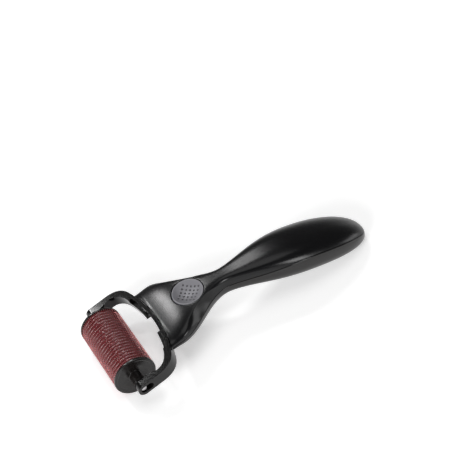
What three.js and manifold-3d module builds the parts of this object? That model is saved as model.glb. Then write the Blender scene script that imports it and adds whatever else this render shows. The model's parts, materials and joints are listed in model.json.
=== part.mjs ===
// Derma roller: a needle drum in a U-shaped head, on a curved two-shell handle
// with a push button that frees the head. Millimetres, +Z up. +X runs from the
// drum to the tail, and the drum turns about an axis along Y. The origin is at
// the middle of the footprint, on the surface that the drum and the tail rest on.

import * as THREE from 'three';
import { mergeVertices } from 'three/addons/utils/BufferGeometryUtils.js';
import Module from 'manifold-3d';

const wasm = await Module();
wasm.setup();

// ---- Driving dimensions --------------------------------------------------

// Needle drum.
const NEEDLE_TIP_RADIUS = 11.15;
const NEEDLE_LENGTH = 0.65;     // what stands out of the spacers
const CAP_SETBACK = 0.25;       // from the needle tips in to the caps' rims
const DISC_COUNT = 20;
const DISC_PITCH = 2;
const DISC_THICKNESS = 0.4;
const STACK_GAP = 0.1;          // between neighbours on the core, along the axis
const CORE_RADIUS = 5.0;
const CAP_THICKNESS = 1.15;
const CAP_DISH_RADIUS = 6.0;    // shallow dish round the hub
const CAP_DISH_DEPTH = 0.6;
const HUB_RADIUS = 3.0;
const AXLE_RADIUS = 1.5;
const AXLE_INSET = 0.9;         // each axle end stays below the arm's outer face

// Head: a flat-bar U with an eye at each arm's end.
const HEAD_SLOPE = THREE.MathUtils.degToRad(13);
const HEAD_HEIGHT = 6.4;
const HEAD_HALF_WIDTH = 30.9;
const ARM_EYE_THICKNESS = 4.6;
const ARM_ROOT_THICKNESS = 3.0;
const ARM_ROOT_U = 10;          // where the arms start to turn into the bar
const BAR_REACH = 24.6;         // from the drum's axis to the bar's back face
const BAR_BOW = 3.5;            // how far the bar's middle bows to the handle
const CORNER_RUN = 7.5;         // what each corner takes of the head's half width
const BAR_DEPTH = 3.7;
const BAR_WALL = 1.8;
const LEDGE_DROP = 2.6;         // from the bar's top to its inner ledge
const LEDGE_SETBACK = 3.9;      // from the end of the bar's bow to the ledge's end
const LEDGE_NOTCH = 14;
const EYE_SLOT_TRAVEL = 3.2;    // length of the eye's slot between its round ends
const TONGUE_WIDTH = 20;
const TONGUE_THICKNESS = 2.4;
const TONGUE_LENGTH = 9;
const TONGUE_ROOT = 1.2;        // how deep the tongue is rooted in the bar
const CATCH_WINDOW = 2.0;
const CATCH_WIDTH = 7;
const CATCH_LIP = 1.4;          // material behind the catch window

// Handle outline, seen from above and from the side.
const SHOULDER_RUN = 3.0;       // from the handle's front to where the flare narrows
const FRONT_WALL = 5.0;         // solid behind the handle's front
const THUMB_RUN = 1.4;          // from the button's axis to the deepest section
const CREST_RUN = 11.9;         // from the button's axis to the crest
const NECK_RUN = 19.4;          // from the button's axis to the neck
const PALM_RUN = 44.0;          // from the neck to the palm
const TAIL_RUN = 38.2;          // from the palm to the tail's tip
const FLARE_HALF_WIDTH = 21;
const NECK_HALF_WIDTH = 5.1;
const PALM_HALF_WIDTH = 14.4;
const SWELL_POWER = 0.8;        // below 1 the grip fills out early behind the neck
const CREST_RISE = 2.6;         // from the head's end of the handle to the crest
const THUMB_HALF_DEPTH = 6.1;
const NECK_HALF_DEPTH = 5.7;
const PALM_HALF_DEPTH = 9.6;
const TAIL_FLAT = 0.05;         // the last section stops this far from the tail's tip
const TAIL_POWER = 2.35;        // 2 ends the handle in an ellipse, more is blunter
const FLARE_SECTION_POWER = 4;  // 2 is an ellipse, more is squarer
const PALM_SECTION_POWER = 2.4;
const PARTING_SHARE = 0.45;     // how far up the palm's half depth the shells part
const SHELL_WALL = 1.8;
const FRONT_PEG_RUN = 22.0;     // from the neck
const REAR_PEG_RUN = 14.0;      // from the palm
const PEG_RADIUS = 1.5;
const PEG_DEPTH = 2.5;
const PEG_WALL = 1.2;

// Release button, its well, spring and latch leaf.
const BUTTON_GAP = 0.2;         // from the tongue's slot to the well's wall
const BUTTON_RADIUS = 8.15;
const BUTTON_RECESS = 0.35;     // the rim sits this far below the crown
const BUTTON_RIM_DEPTH = 2.9;
const DISH_RIM = 0.5;           // flat rim round the dish
const DISH_DEPTH = 2.2;
const BUTTON_TRAVEL = 1.0;
const WELL_WALL = 1.0;
const STEM_RADIUS = 2.0;
const SPRING_RADIUS = 3.4;
const SPRING_WIRE = 0.5;
const SPRING_TURNS = 3;
const SPRING_SPARE = 0.1;       // left when the button is fully down
const LEAF_WIDTH = 5;
const LEAF_THICKNESS = 0.5;
const LEAF_ANCHOR_RUN = 5.0;    // from the leaf's screw to the neck
const LEAF_ANCHOR_DROP = 2.0;   // below the handle's centre line
const CATCH_ENGAGEMENT = 1.0;
const SCREW_RADIUS = 0.9;
const SCREW_SKIN = 1.4;         // from the screw's tip to the handle's underside
const SCREW_SLOT = 0.5;
const SCREW_HEAD_RADIUS = 1.8;
const SCREW_HEAD_HEIGHT = 0.8;

// Clearances.
const FIT = 0.3;                // between touching pieces
const SLIDE = 0.25;             // between sliding and turning pieces, each side

// Facets.
const DRUM_SIDES = 24;
const ROUND_SIDES = 20;
const SECTION_SIDES = 24;
const HANDLE_STATIONS = 26;
const BIG_ARC_SIDES = 96;
const WIRE_STEPS = 16;          // per turn of the spring
const TAIL_CROWDING = 0.9;      // below 1 spreads the handle's stations more evenly

// How far cutting tools run past what they cut.
const OVERRUN = 1;
const FORM_OVERRUN = 5;         // of the handle's form past its front, and its cuts past that

// ---- Sizes that follow from the driving ones ------------------------------

const SPACER_LENGTH = DISC_PITCH - DISC_THICKNESS - 2 * STACK_GAP;
const STACK_HALF = ((DISC_COUNT - 1) * DISC_PITCH + DISC_THICKNESS) / 2;
const CAP_INNER_Y = STACK_HALF + STACK_GAP;
const CAP_OUTER_Y = CAP_INNER_Y + CAP_THICKNESS;
const SPACER_RADIUS = NEEDLE_TIP_RADIUS - NEEDLE_LENGTH;
const CAP_RADIUS = NEEDLE_TIP_RADIUS - CAP_SETBACK;
const ARM_INNER_Y = HEAD_HALF_WIDTH - ARM_EYE_THICKNESS;
const HUB_END_Y = ARM_INNER_Y - FIT;
const SLOT_RADIUS = AXLE_RADIUS + SLIDE;
const HALF_HEIGHT = HEAD_HEIGHT / 2;
const BAR_HALF_CHORD = HEAD_HALF_WIDTH - CORNER_RUN;
const LEDGE_HALF_LENGTH = BAR_HALF_CHORD - LEDGE_SETBACK;
const BAR_RADIUS = (BAR_HALF_CHORD ** 2 + BAR_BOW ** 2) / (2 * BAR_BOW);
const BAR_CENTRE_U = BAR_REACH - BAR_RADIUS;
const TONGUE_END = BAR_REACH + TONGUE_LENGTH;
const FRONT_X = BAR_REACH * Math.cos(HEAD_SLOPE);
const FRONT_Z = NEEDLE_TIP_RADIUS + BAR_REACH * Math.sin(HEAD_SLOPE);
const CREST_Z = FRONT_Z + CREST_RISE;
// From the button's underside to the well's floor: its travel and the closed spring.
const WELL_SPACE = BUTTON_TRAVEL + SPRING_TURNS * SPRING_WIRE + SPRING_SPARE;
const DISH_RADIUS = BUTTON_RADIUS - DISH_RIM;
const WELL_RADIUS = BUTTON_RADIUS + SLIDE;
const WELL_FLOOR_DEPTH = BUTTON_RECESS + BUTTON_RIM_DEPTH + WELL_SPACE;
const WELL_BOTTOM_DEPTH = WELL_FLOOR_DEPTH + WELL_WALL;

// Stations along the handle, each a distance from the drum's axis.
const SHOULDER_X = FRONT_X + SHOULDER_RUN;
const CAVITY_FRONT_X = FRONT_X + FRONT_WALL;
const SLOT_END_X = (TONGUE_END + FIT) * Math.cos(HEAD_SLOPE);
const BUTTON_X = SLOT_END_X + BUTTON_GAP + WELL_WALL + WELL_RADIUS;
const THUMB_X = BUTTON_X + THUMB_RUN;
const CREST_X = BUTTON_X + CREST_RUN;
const NECK_X = BUTTON_X + NECK_RUN;
const PALM_X = NECK_X + PALM_RUN;
const TAIL_X = PALM_X + TAIL_RUN;
const LEAF_ANCHOR_X = NECK_X - LEAF_ANCHOR_RUN;
const PEG_STATIONS = [NECK_X + FRONT_PEG_RUN, PALM_X + REAR_PEG_RUN];

// ---- Materials -------------------------------------------------------------

const material = (color, roughness, metalness = 0) =>
  new THREE.MeshStandardMaterial({ color, roughness, metalness });
const satinBlack = material(0x1d1d1f, 0.45);
const glossBlack = material(0x100e0e, 0.18);
const headBlack = material(0x1a1819, 0.32);
const capBlack = material(0x262322, 0.3);
const softGrey = material(0x7c7b7e, 0.55);
const redPlastic = material(0x8c2d37, 0.25);
const steel = material(0xc3c0c2, 0.25, 1);

// ---- Solid helpers ---------------------------------------------------------

function toSolid(geometry) {
  const bare = geometry.index ? geometry.clone() : geometry;
  bare.deleteAttribute('normal');
  bare.deleteAttribute('uv');
  const merged = mergeVertices(bare, 1e-5);
  return new wasm.Manifold(new wasm.Mesh({
    numProp: 3,
    vertProperties: new Float32Array(merged.attributes.position.array),
    triVerts: new Uint32Array(merged.index.array),
  }));
}

function toGeometry(solid) {
  const mesh = solid.getMesh();
  const geometry = new THREE.BufferGeometry();
  geometry.setAttribute('position', new THREE.BufferAttribute(mesh.vertProperties, 3));
  geometry.setIndex(new THREE.BufferAttribute(mesh.triVerts, 1));
  geometry.computeVertexNormals();
  return geometry;
}

// A box by its lowest and highest corners.
function block(low, high) {
  const geometry = new THREE.BoxGeometry(high[0] - low[0], high[1] - low[1], high[2] - low[2]);
  geometry.translate(
    (low[0] + high[0]) / 2, (low[1] + high[1]) / 2, (low[2] + high[2]) / 2);
  return geometry;
}

// An upright cylinder from z = bottom to z = top.
function post(radius, bottom, top, sides = ROUND_SIDES) {
  const geometry = new THREE.CylinderGeometry(radius, radius, top - bottom, sides);
  geometry.rotateX(Math.PI / 2);
  geometry.translate(0, 0, (top + bottom) / 2);
  return geometry;
}

// A flat outline in X and Y, extruded from z = bottom to z = top.
function slab(shape, bottom, top) {
  const options = { depth: top - bottom, bevelEnabled: false, curveSegments: 8 };
  const geometry = new THREE.ExtrudeGeometry(shape, options);
  geometry.translate(0, 0, bottom);
  return geometry;
}

// A side outline in X and Z, extruded through y = -half to y = +half.
function sideSlab(shape, half, curveSegments = 8) {
  const options = { depth: 2 * half, bevelEnabled: false, curveSegments };
  const geometry = new THREE.ExtrudeGeometry(shape, options);
  geometry.translate(0, 0, -half);
  geometry.rotateX(Math.PI / 2);
  return geometry;
}

// A turned piece about the Y axis. The profile holds (radius, y) points, anticlockwise.
function turned(profile, sides = DRUM_SIDES) {
  const points = profile.map(([radius, y]) => new THREE.Vector2(radius, y));
  return new THREE.LatheGeometry(points, sides);
}

function washer(outer, inner, thickness, sides = DRUM_SIDES) {
  const half = thickness / 2;
  return turned([[inner, -half], [outer, -half], [outer, half], [inner, half], [inner, -half]],
    sides);
}

function node(name, geometry, finish) {
  const mesh = new THREE.Mesh(geometry, finish);
  mesh.name = name;
  return mesh;
}

const ease = (t) => {
  const clamped = THREE.MathUtils.clamp(t, 0, 1);
  return clamped * clamped * (3 - 2 * clamped);
};

// ---- Handle form -------------------------------------------------------------

// The share of the palm's width and depth that is left at x, down to 0 at the tail.
function tailFade(x) {
  const along = (x - PALM_X) / (TAIL_X - PALM_X);
  return (1 - along ** TAIL_POWER) ** (1 / TAIL_POWER);
}

function halfWidth(x) {
  if (x < NECK_X) {
    const along = ease((x - SHOULDER_X) / (NECK_X - SHOULDER_X));
    return THREE.MathUtils.lerp(FLARE_HALF_WIDTH, NECK_HALF_WIDTH, along);
  }
  if (x < PALM_X) {
    const along = ease(((x - NECK_X) / (PALM_X - NECK_X)) ** SWELL_POWER);
    return THREE.MathUtils.lerp(NECK_HALF_WIDTH, PALM_HALF_WIDTH, along);
  }
  return PALM_HALF_WIDTH * tailFade(x);
}

function halfDepth(x) {
  if (x < THUMB_X) {
    const along = THREE.MathUtils.clamp((x - FRONT_X) / (THUMB_X - FRONT_X), 0, 1);
    const rise = Math.sin((along * Math.PI) / 2);
    return THREE.MathUtils.lerp(HALF_HEIGHT, THUMB_HALF_DEPTH, rise);
  }
  if (x < NECK_X) {
    const along = ease((x - THUMB_X) / (NECK_X - THUMB_X));
    return THREE.MathUtils.lerp(THUMB_HALF_DEPTH, NECK_HALF_DEPTH, along);
  }
  if (x < PALM_X) {
    const along = ease((x - NECK_X) / (PALM_X - NECK_X));
    return THREE.MathUtils.lerp(NECK_HALF_DEPTH, PALM_HALF_DEPTH, along);
  }
  return PALM_HALF_DEPTH * tailFade(x);
}

// Stations crowd towards the tail, where the outline turns quickest.
function stations(from, to) {
  const list = [];
  for (let i = 0; i <= HANDLE_STATIONS; i += 1) {
    list.push(from + (to - from) * Math.sin(((i / HANDLE_STATIONS) * Math.PI) / 2) ** TAIL_CROWDING);
  }
  return list;
}

const outerStations = stations(FRONT_X - FORM_OVERRUN, TAIL_X - TAIL_FLAT);

// The centre line rises from the head, crests before the neck and falls to the tail,
// just far enough for the tail to rest on the surface.
const tailShare = (x) => ((x - CREST_X) / (TAIL_X - CREST_X)) ** 2;
const tailStations = outerStations.filter((x) => x > PALM_X);
const TAIL_DROP = Math.min(
  ...tailStations.map((x) => (CREST_Z - halfDepth(x)) / tailShare(x)));

function spineHeight(x) {
  if (x < CREST_X) {
    return CREST_Z - CREST_RISE * ((CREST_X - x) / (CREST_X - FRONT_X)) ** 2;
  }
  return CREST_Z - TAIL_DROP * tailShare(x);
}

// The sections are squarish as far as the neck, and rounder at the palm.
function sectionPower(x) {
  const along = ease((x - NECK_X) / (PALM_X - NECK_X));
  return THREE.MathUtils.lerp(FLARE_SECTION_POWER, PALM_SECTION_POWER, along);
}

// One cross-section of the handle, standing upright at x.
function section(x, inset) {
  const ring = [];
  const reachY = halfWidth(x) - inset;
  const reachZ = halfDepth(x) - inset;
  const power = 2 / sectionPower(x);
  for (let i = 0; i < SECTION_SIDES; i += 1) {
    const angle = (i / SECTION_SIDES) * 2 * Math.PI;
    const cos = Math.cos(angle);
    const sin = Math.sin(angle);
    ring.push([
      x,
      reachY * Math.sign(cos) * Math.abs(cos) ** power,
      spineHeight(x) + reachZ * Math.sign(sin) * Math.abs(sin) ** power,
    ]);
  }
  return ring;
}

// A closed skin through the sections at the given stations.
function loft(xs, inset) {
  const positions = xs.flatMap((x) => section(x, inset)).flat();
  const index = [];
  const sides = SECTION_SIDES;
  for (let i = 0; i + 1 < xs.length; i += 1) {
    for (let j = 0; j < sides; j += 1) {
      const a = i * sides + j;
      const b = i * sides + ((j + 1) % sides);
      index.push(a, b, b + sides, a, b + sides, a + sides);
    }
  }
  const last = (xs.length - 1) * sides;
  for (let j = 1; j + 1 < sides; j += 1) {
    index.push(0, j + 1, j);
    index.push(last, last + j, last + j + 1);
  }
  const geometry = new THREE.BufferGeometry();
  geometry.setAttribute('position', new THREE.Float32BufferAttribute(positions, 3));
  geometry.setIndex(index);
  return geometry;
}

// The shells part on the centre line as far as the neck, and higher behind it.
function partingHeight(x) {
  const share = PARTING_SHARE * ease((x - NECK_X) / (PALM_X - NECK_X));
  const depth = x < TAIL_X ? halfDepth(x) : 0;
  return spineHeight(x) + share * depth;
}

// The side outline of everything above (+1) or below (-1) the parting line.
function partingSide(sign) {
  const far = CREST_Z + sign * 4 * PALM_HALF_DEPTH;
  const line = stations(FRONT_X - 2 * FORM_OVERRUN, TAIL_X + FORM_OVERRUN);
  const points = line.map((x) => new THREE.Vector2(x, partingHeight(x) + (sign * FIT) / 2));
  points.push(new THREE.Vector2(line.at(-1), far), new THREE.Vector2(line[0], far));
  return toSolid(sideSlab(new THREE.Shape(points), 2 * FLARE_HALF_WIDTH));
}

// Shapes made in the head's own frame: U along the arms, V up, at the drum's axis.
function fromHead(geometry) {
  geometry.rotateY(-HEAD_SLOPE);
  geometry.translate(0, 0, NEEDLE_TIP_RADIUS);
  return toSolid(geometry);
}

// The button's frame: its centre on the handle's top, Z along its axis.
const topHeight = (x) => spineHeight(x) + halfDepth(x);
const BUTTON_TILT = Math.atan2(
  topHeight(THUMB_X) - topHeight(BUTTON_X - THUMB_RUN), 2 * THUMB_RUN);
const BUTTON_Z = topHeight(BUTTON_X);

function fromButton(geometry) {
  geometry.rotateY(-BUTTON_TILT);
  geometry.translate(BUTTON_X, 0, BUTTON_Z);
  return toSolid(geometry);
}

// Room for the bar's back face and for the tongue behind it.
const barClearance = fromHead(
  post(BAR_RADIUS + FIT, -HEAD_HEIGHT * 3, HEAD_HEIGHT * 3, BIG_ARC_SIDES)
    .translate(BAR_CENTRE_U, 0, 0));
const tongueClearance = fromHead(block(
  [BAR_REACH - BAR_BOW, -TONGUE_WIDTH / 2 - FIT, -TONGUE_THICKNESS / 2 - FIT],
  [TONGUE_END + FIT, TONGUE_WIDTH / 2 + FIT, TONGUE_THICKNESS / 2 + FIT]));

// The button's well hangs below the parting line, where the bottom shell gives it room.
const wellClearance = fromButton(post(
  WELL_RADIUS + WELL_WALL + FIT, -WELL_BOTTOM_DEPTH - FIT, PALM_HALF_DEPTH));

const form = toSolid(loft(outerStations, 0));
const roomy = (x) => Math.min(halfWidth(x), halfDepth(x)) > 2 * SHELL_WALL;
const cavityEnd = outerStations.filter(roomy).at(-1);
const cavity = toSolid(loft(stations(CAVITY_FRONT_X, cavityEnd), SHELL_WALL));

// ---- Latch leaf frame --------------------------------------------------------

// The leaf runs straight from a boss behind the button to just under the tongue.
const CATCH_U = TONGUE_END - CATCH_LIP - CATCH_WINDOW / 2;
const headX = (u, v) => u * Math.cos(HEAD_SLOPE) - v * Math.sin(HEAD_SLOPE);
const headZ = (u, v) =>
  NEEDLE_TIP_RADIUS + u * Math.sin(HEAD_SLOPE) + v * Math.cos(HEAD_SLOPE);
const leafFrontX = headX(CATCH_U, -TONGUE_THICKNESS / 2);
const leafFrontZ = headZ(CATCH_U, -TONGUE_THICKNESS / 2 - FIT) - LEAF_THICKNESS / 2;
const leafAnchorZ = spineHeight(LEAF_ANCHOR_X) - LEAF_ANCHOR_DROP;
const SCREW_LENGTH = halfDepth(LEAF_ANCHOR_X) - LEAF_ANCHOR_DROP - SCREW_SKIN;
const LEAF_TILT = Math.atan2(leafAnchorZ - leafFrontZ, LEAF_ANCHOR_X - leafFrontX);
const LEAF_SPAN = Math.hypot(leafAnchorZ - leafFrontZ, LEAF_ANCHOR_X - leafFrontX);

// The leaf's frame has its origin at the anchor screw and X towards the tail.
function fromLeaf(geometry) {
  geometry.rotateY(-LEAF_TILT);
  geometry.translate(LEAF_ANCHOR_X, 0, leafAnchorZ);
  return toSolid(geometry);
}

// ---- Handle shells -------------------------------------------------------------

function peg(x) {
  const low = spineHeight(x) - PEG_DEPTH;
  return toSolid(post(PEG_RADIUS, low, topHeight(x) - SHELL_WALL / 2).translate(x, 0, 0));
}

function pegSocket(x) {
  const outer = PEG_RADIUS + FIT + PEG_WALL;
  const low = spineHeight(x) - halfDepth(x) + SHELL_WALL / 2;
  return toSolid(post(outer, low, spineHeight(x) - FIT).translate(x, 0, 0));
}

function pegBore(x) {
  const low = spineHeight(x) - PEG_DEPTH - FIT;
  const bore = post(PEG_RADIUS + FIT, low, partingHeight(x) + OVERRUN);
  return toSolid(bore.translate(x, 0, 0));
}

function topShell() {
  const above = PALM_HALF_DEPTH;
  const well = fromButton(post(WELL_RADIUS + WELL_WALL, -WELL_BOTTOM_DEPTH, above));
  const bore = fromButton(post(WELL_RADIUS, -WELL_FLOOR_DEPTH, above));
  const stemHole = fromButton(post(STEM_RADIUS + SLIDE, -WELL_BOTTOM_DEPTH - OVERRUN, 0));
  let shell = form.intersect(partingSide(1)).subtract(cavity);
  for (const x of PEG_STATIONS) shell = shell.add(peg(x));
  shell = shell.add(well.intersect(form)).subtract(bore).subtract(stemHole);
  return shell.subtract(barClearance).subtract(tongueClearance);
}

function bottomShell() {
  const bossLow = -halfDepth(LEAF_ANCHOR_X) + LEAF_ANCHOR_DROP + SHELL_WALL / 2;
  const boss = fromLeaf(
    post(SCREW_HEAD_RADIUS + PEG_WALL, bossLow, -LEAF_THICKNESS / 2 - FIT));
  const screwBore = fromLeaf(post(SCREW_RADIUS + SLIDE, -SCREW_LENGTH - FIT, OVERRUN));
  let shell = form.intersect(partingSide(-1)).subtract(cavity);
  for (const x of PEG_STATIONS) shell = shell.add(pegSocket(x)).subtract(pegBore(x));
  shell = shell.add(boss.intersect(form)).subtract(screwBore).subtract(wellClearance);
  return shell.subtract(barClearance).subtract(tongueClearance);
}

// ---- Button, spring, latch -------------------------------------------------------

// A dished cap on a stem whose foot rests just above the latch leaf.
function releaseButton() {
  const leafUnder = leafAnchorZ - (LEAF_ANCHOR_X - BUTTON_X) * Math.tan(LEAF_TILT);
  const leafTop = leafUnder + (LEAF_THICKNESS / 2 + FIT) / Math.cos(LEAF_TILT + BUTTON_TILT);
  const stemFoot = (BUTTON_Z - leafTop) / Math.cos(BUTTON_TILT);
  const sphere = (DISH_RADIUS ** 2 + DISH_DEPTH ** 2) / (2 * DISH_DEPTH);
  const rim = -BUTTON_RECESS;
  const under = rim - BUTTON_RIM_DEPTH;
  const profile = [[0, -stemFoot], [STEM_RADIUS, -stemFoot], [STEM_RADIUS, under],
    [BUTTON_RADIUS, under], [BUTTON_RADIUS, rim]];
  const steps = 5;
  for (let i = 0; i <= steps; i += 1) {
    const radius = DISH_RADIUS * (1 - i / steps);
    const drop = Math.sqrt(sphere ** 2 - radius ** 2) - (sphere - DISH_DEPTH);
    profile.push([radius, rim - drop]);
  }
  return turned(profile).rotateX(Math.PI / 2);
}

class Helix extends THREE.Curve {
  constructor(radius, pitch, turns) {
    super();
    Object.assign(this, { radius, pitch, turns });
  }

  getPoint(t, target = new THREE.Vector3()) {
    const angle = t * this.turns * 2 * Math.PI;
    const rise = t * this.turns * this.pitch;
    return target.set(this.radius * Math.cos(angle), this.radius * Math.sin(angle), rise);
  }
}

function coilSpring() {
  const room = WELL_SPACE - 2 * SLIDE - SPRING_WIRE;
  const path = new Helix(SPRING_RADIUS, room / SPRING_TURNS, SPRING_TURNS);
  const wire = new THREE.Shape().absarc(0, 0, SPRING_WIRE / 2, 0, 2 * Math.PI);
  const options = { extrudePath: path, steps: WIRE_STEPS * SPRING_TURNS, curveSegments: 6 };
  const geometry = new THREE.ExtrudeGeometry(wire, options);
  return geometry.translate(0, 0, -WELL_FLOOR_DEPTH + SLIDE + SPRING_WIRE / 2);
}

function latchLeaf() {
  const half = LEAF_WIDTH / 2;
  const thick = LEAF_THICKNESS / 2;
  const tooth = CATCH_WINDOW / 2 - SLIDE;
  const top = thick + FIT + CATCH_ENGAGEMENT;
  const leaf = toSolid(block([-LEAF_SPAN - tooth, -half, -thick], [half, half, thick]));
  const outline = new THREE.Shape();
  outline.moveTo(-LEAF_SPAN - tooth, 0);
  outline.lineTo(-LEAF_SPAN + tooth, 0);
  outline.lineTo(-LEAF_SPAN + tooth / 2, top);
  outline.lineTo(-LEAF_SPAN - tooth, top);
  const hole = toSolid(post(SCREW_RADIUS + SLIDE, -OVERRUN, OVERRUN));
  return toGeometry(leaf.add(toSolid(sideSlab(outline, half))).subtract(hole));
}

function latchScrew() {
  const seat = LEAF_THICKNESS / 2 + FIT / 2;
  const middle = seat + SCREW_HEAD_HEIGHT / 2;
  const shank = toSolid(post(SCREW_RADIUS, -SCREW_LENGTH, middle));
  const head = toSolid(post(SCREW_HEAD_RADIUS, seat, seat + SCREW_HEAD_HEIGHT));
  const slot = toSolid(block(
    [-SCREW_HEAD_RADIUS, -SCREW_SLOT / 2, middle],
    [SCREW_HEAD_RADIUS, SCREW_SLOT / 2, seat + SCREW_HEAD_HEIGHT + OVERRUN]));
  return toGeometry(shank.add(head).subtract(slot));
}

// ---- Head ---------------------------------------------------------------------------

// The whole U seen from above, from the left eye round the bar to the right eye.
function headPlan() {
  const shape = new THREE.Shape();
  const eye = -HALF_HEIGHT - OVERRUN;
  const outer = HEAD_HALF_WIDTH;
  const chordU = BAR_REACH - BAR_BOW;
  const tangent = BAR_HALF_CHORD / (BAR_RADIUS - BAR_BOW);
  const cornerU = chordU - tangent * (outer - BAR_HALF_CHORD);
  const inRadius = BAR_RADIUS - BAR_DEPTH;
  const inHalf = BAR_HALF_CHORD - BAR_DEPTH;
  const inU = BAR_CENTRE_U + Math.sqrt(inRadius ** 2 - inHalf ** 2);
  const armIn = outer - ARM_ROOT_THICKNESS;
  const inCornerU = inU - (inHalf / inRadius) * (armIn - inHalf);
  const outAngle = Math.asin(BAR_HALF_CHORD / BAR_RADIUS);
  const inAngle = Math.asin(inHalf / inRadius);
  shape.moveTo(eye, -outer);
  shape.lineTo(ARM_ROOT_U, -outer);
  shape.quadraticCurveTo(cornerU, -outer, chordU, -BAR_HALF_CHORD);
  shape.absarc(BAR_CENTRE_U, 0, BAR_RADIUS, -outAngle, outAngle, false);
  shape.quadraticCurveTo(cornerU, outer, ARM_ROOT_U, outer);
  shape.lineTo(eye, outer);
  shape.lineTo(eye, ARM_INNER_Y);
  shape.lineTo(HALF_HEIGHT, ARM_INNER_Y);
  shape.lineTo(ARM_ROOT_U, armIn);
  shape.quadraticCurveTo(inCornerU, armIn, inU, inHalf);
  shape.absarc(BAR_CENTRE_U, 0, inRadius, inAngle, -inAngle, true);
  shape.quadraticCurveTo(inCornerU, -armIn, ARM_ROOT_U, -armIn);
  shape.lineTo(HALF_HEIGHT, -ARM_INNER_Y);
  shape.lineTo(eye, -ARM_INNER_Y);
  return shape;
}

// A bar with one round end at u = 0, seen from the side.
function armSide() {
  const shape = new THREE.Shape();
  const back = BAR_REACH + BAR_BOW;
  shape.moveTo(back, HALF_HEIGHT);
  shape.lineTo(0, HALF_HEIGHT);
  shape.absarc(0, 0, HALF_HEIGHT, Math.PI / 2, (3 * Math.PI) / 2, false);
  shape.lineTo(back, -HALF_HEIGHT);
  return shape;
}

function eyeSlot() {
  const shape = new THREE.Shape();
  shape.absarc(0, 0, SLOT_RADIUS, Math.PI / 2, (3 * Math.PI) / 2, false);
  shape.absarc(EYE_SLOT_TRAVEL, 0, SLOT_RADIUS, -Math.PI / 2, Math.PI / 2, false);
  return toSolid(sideSlab(shape, HEAD_HALF_WIDTH + OVERRUN));
}

// The inner ledge is lower than the bar's top, and a notch parts it in the middle.
function ledgeCuts() {
  const inside = toSolid(
    post(BAR_RADIUS - BAR_WALL, -HEAD_HEIGHT, HEAD_HEIGHT, BIG_ARC_SIDES)
      .translate(BAR_CENTRE_U, 0, 0));
  const front = BAR_REACH - BAR_BOW - 2 * BAR_DEPTH;
  const over = toSolid(block(
    [front, -LEDGE_HALF_LENGTH, HALF_HEIGHT - LEDGE_DROP],
    [BAR_REACH, LEDGE_HALF_LENGTH, HEAD_HEIGHT]));
  const notch = toSolid(block(
    [front, -LEDGE_NOTCH / 2, -HEAD_HEIGHT], [BAR_REACH, LEDGE_NOTCH / 2, HEAD_HEIGHT]));
  return inside.intersect(over.add(notch));
}

function tongue() {
  const half = TONGUE_THICKNESS / 2;
  const blade = toSolid(block(
    [BAR_REACH - TONGUE_ROOT, -TONGUE_WIDTH / 2, -half], [TONGUE_END, TONGUE_WIDTH / 2, half]));
  const window = toSolid(block(
    [CATCH_U - CATCH_WINDOW / 2, -CATCH_WIDTH / 2, -2 * half],
    [CATCH_U + CATCH_WINDOW / 2, CATCH_WIDTH / 2, 2 * half]));
  return blade.subtract(window);
}

function headYoke() {
  const plan = toSolid(slab(headPlan(), -HALF_HEIGHT, HALF_HEIGHT));
  const side = toSolid(sideSlab(armSide(), HEAD_HALF_WIDTH + OVERRUN));
  const bar = plan.intersect(side).subtract(eyeSlot()).subtract(ledgeCuts());
  return toGeometry(bar.add(tongue()));
}

// ---- Drum ----------------------------------------------------------------------------

// A flat cap with a shallow dish and a hub that reaches the arm; side is -1 or +1.
function endCap(side) {
  const bore = AXLE_RADIUS + SLIDE;
  const profile = [[bore, CAP_INNER_Y], [CAP_RADIUS, CAP_INNER_Y], [CAP_RADIUS, CAP_OUTER_Y],
    [CAP_DISH_RADIUS, CAP_OUTER_Y], [HUB_RADIUS + FIT, CAP_OUTER_Y - CAP_DISH_DEPTH],
    [HUB_RADIUS, HUB_END_Y], [bore, HUB_END_Y], [bore, CAP_INNER_Y]];
  const geometry = turned(profile);
  if (side < 0) geometry.rotateZ(Math.PI);
  return geometry;
}

function axle() {
  const half = HEAD_HALF_WIDTH - AXLE_INSET;
  return new THREE.CylinderGeometry(AXLE_RADIUS, AXLE_RADIUS, 2 * half, ROUND_SIDES);
}

function addDrum(group) {
  const boreRadius = AXLE_RADIUS + SLIDE;
  const disc = washer(NEEDLE_TIP_RADIUS, CORE_RADIUS + SLIDE, DISC_THICKNESS);
  const spacer = washer(SPACER_RADIUS, CORE_RADIUS + SLIDE, SPACER_LENGTH, ROUND_SIDES);
  const first = (-(DISC_COUNT - 1) * DISC_PITCH) / 2;
  for (let i = 0; i < DISC_COUNT; i += 1) {
    const number = String(i + 1).padStart(2, '0');
    const discNode = node(`needle_disc_${number}`, disc, steel);
    discNode.position.y = first + i * DISC_PITCH;
    group.add(discNode);
    if (i + 1 < DISC_COUNT) {
      const spacerNode = node(`spacer_${number}`, spacer, redPlastic);
      spacerNode.position.y = first + (i + 0.5) * DISC_PITCH;
      group.add(spacerNode);
    }
  }
  group.add(node('drum_core', washer(CORE_RADIUS, boreRadius, 2 * STACK_HALF), redPlastic));
  group.add(node('end_cap_left', endCap(-1), capBlack));
  group.add(node('end_cap_right', endCap(1), capBlack));
  group.add(node('axle', axle(), steel));
}

// ---- Assembly -------------------------------------------------------------------------

const roller = new THREE.Group();
roller.position.x = -(TAIL_X - TAIL_FLAT - NEEDLE_TIP_RADIUS) / 2;

const handle = new THREE.Group();
handle.add(node('handle_top_shell', toGeometry(topShell()), satinBlack));
handle.add(node('handle_bottom_shell', toGeometry(bottomShell()), glossBlack));
roller.add(handle);

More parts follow.
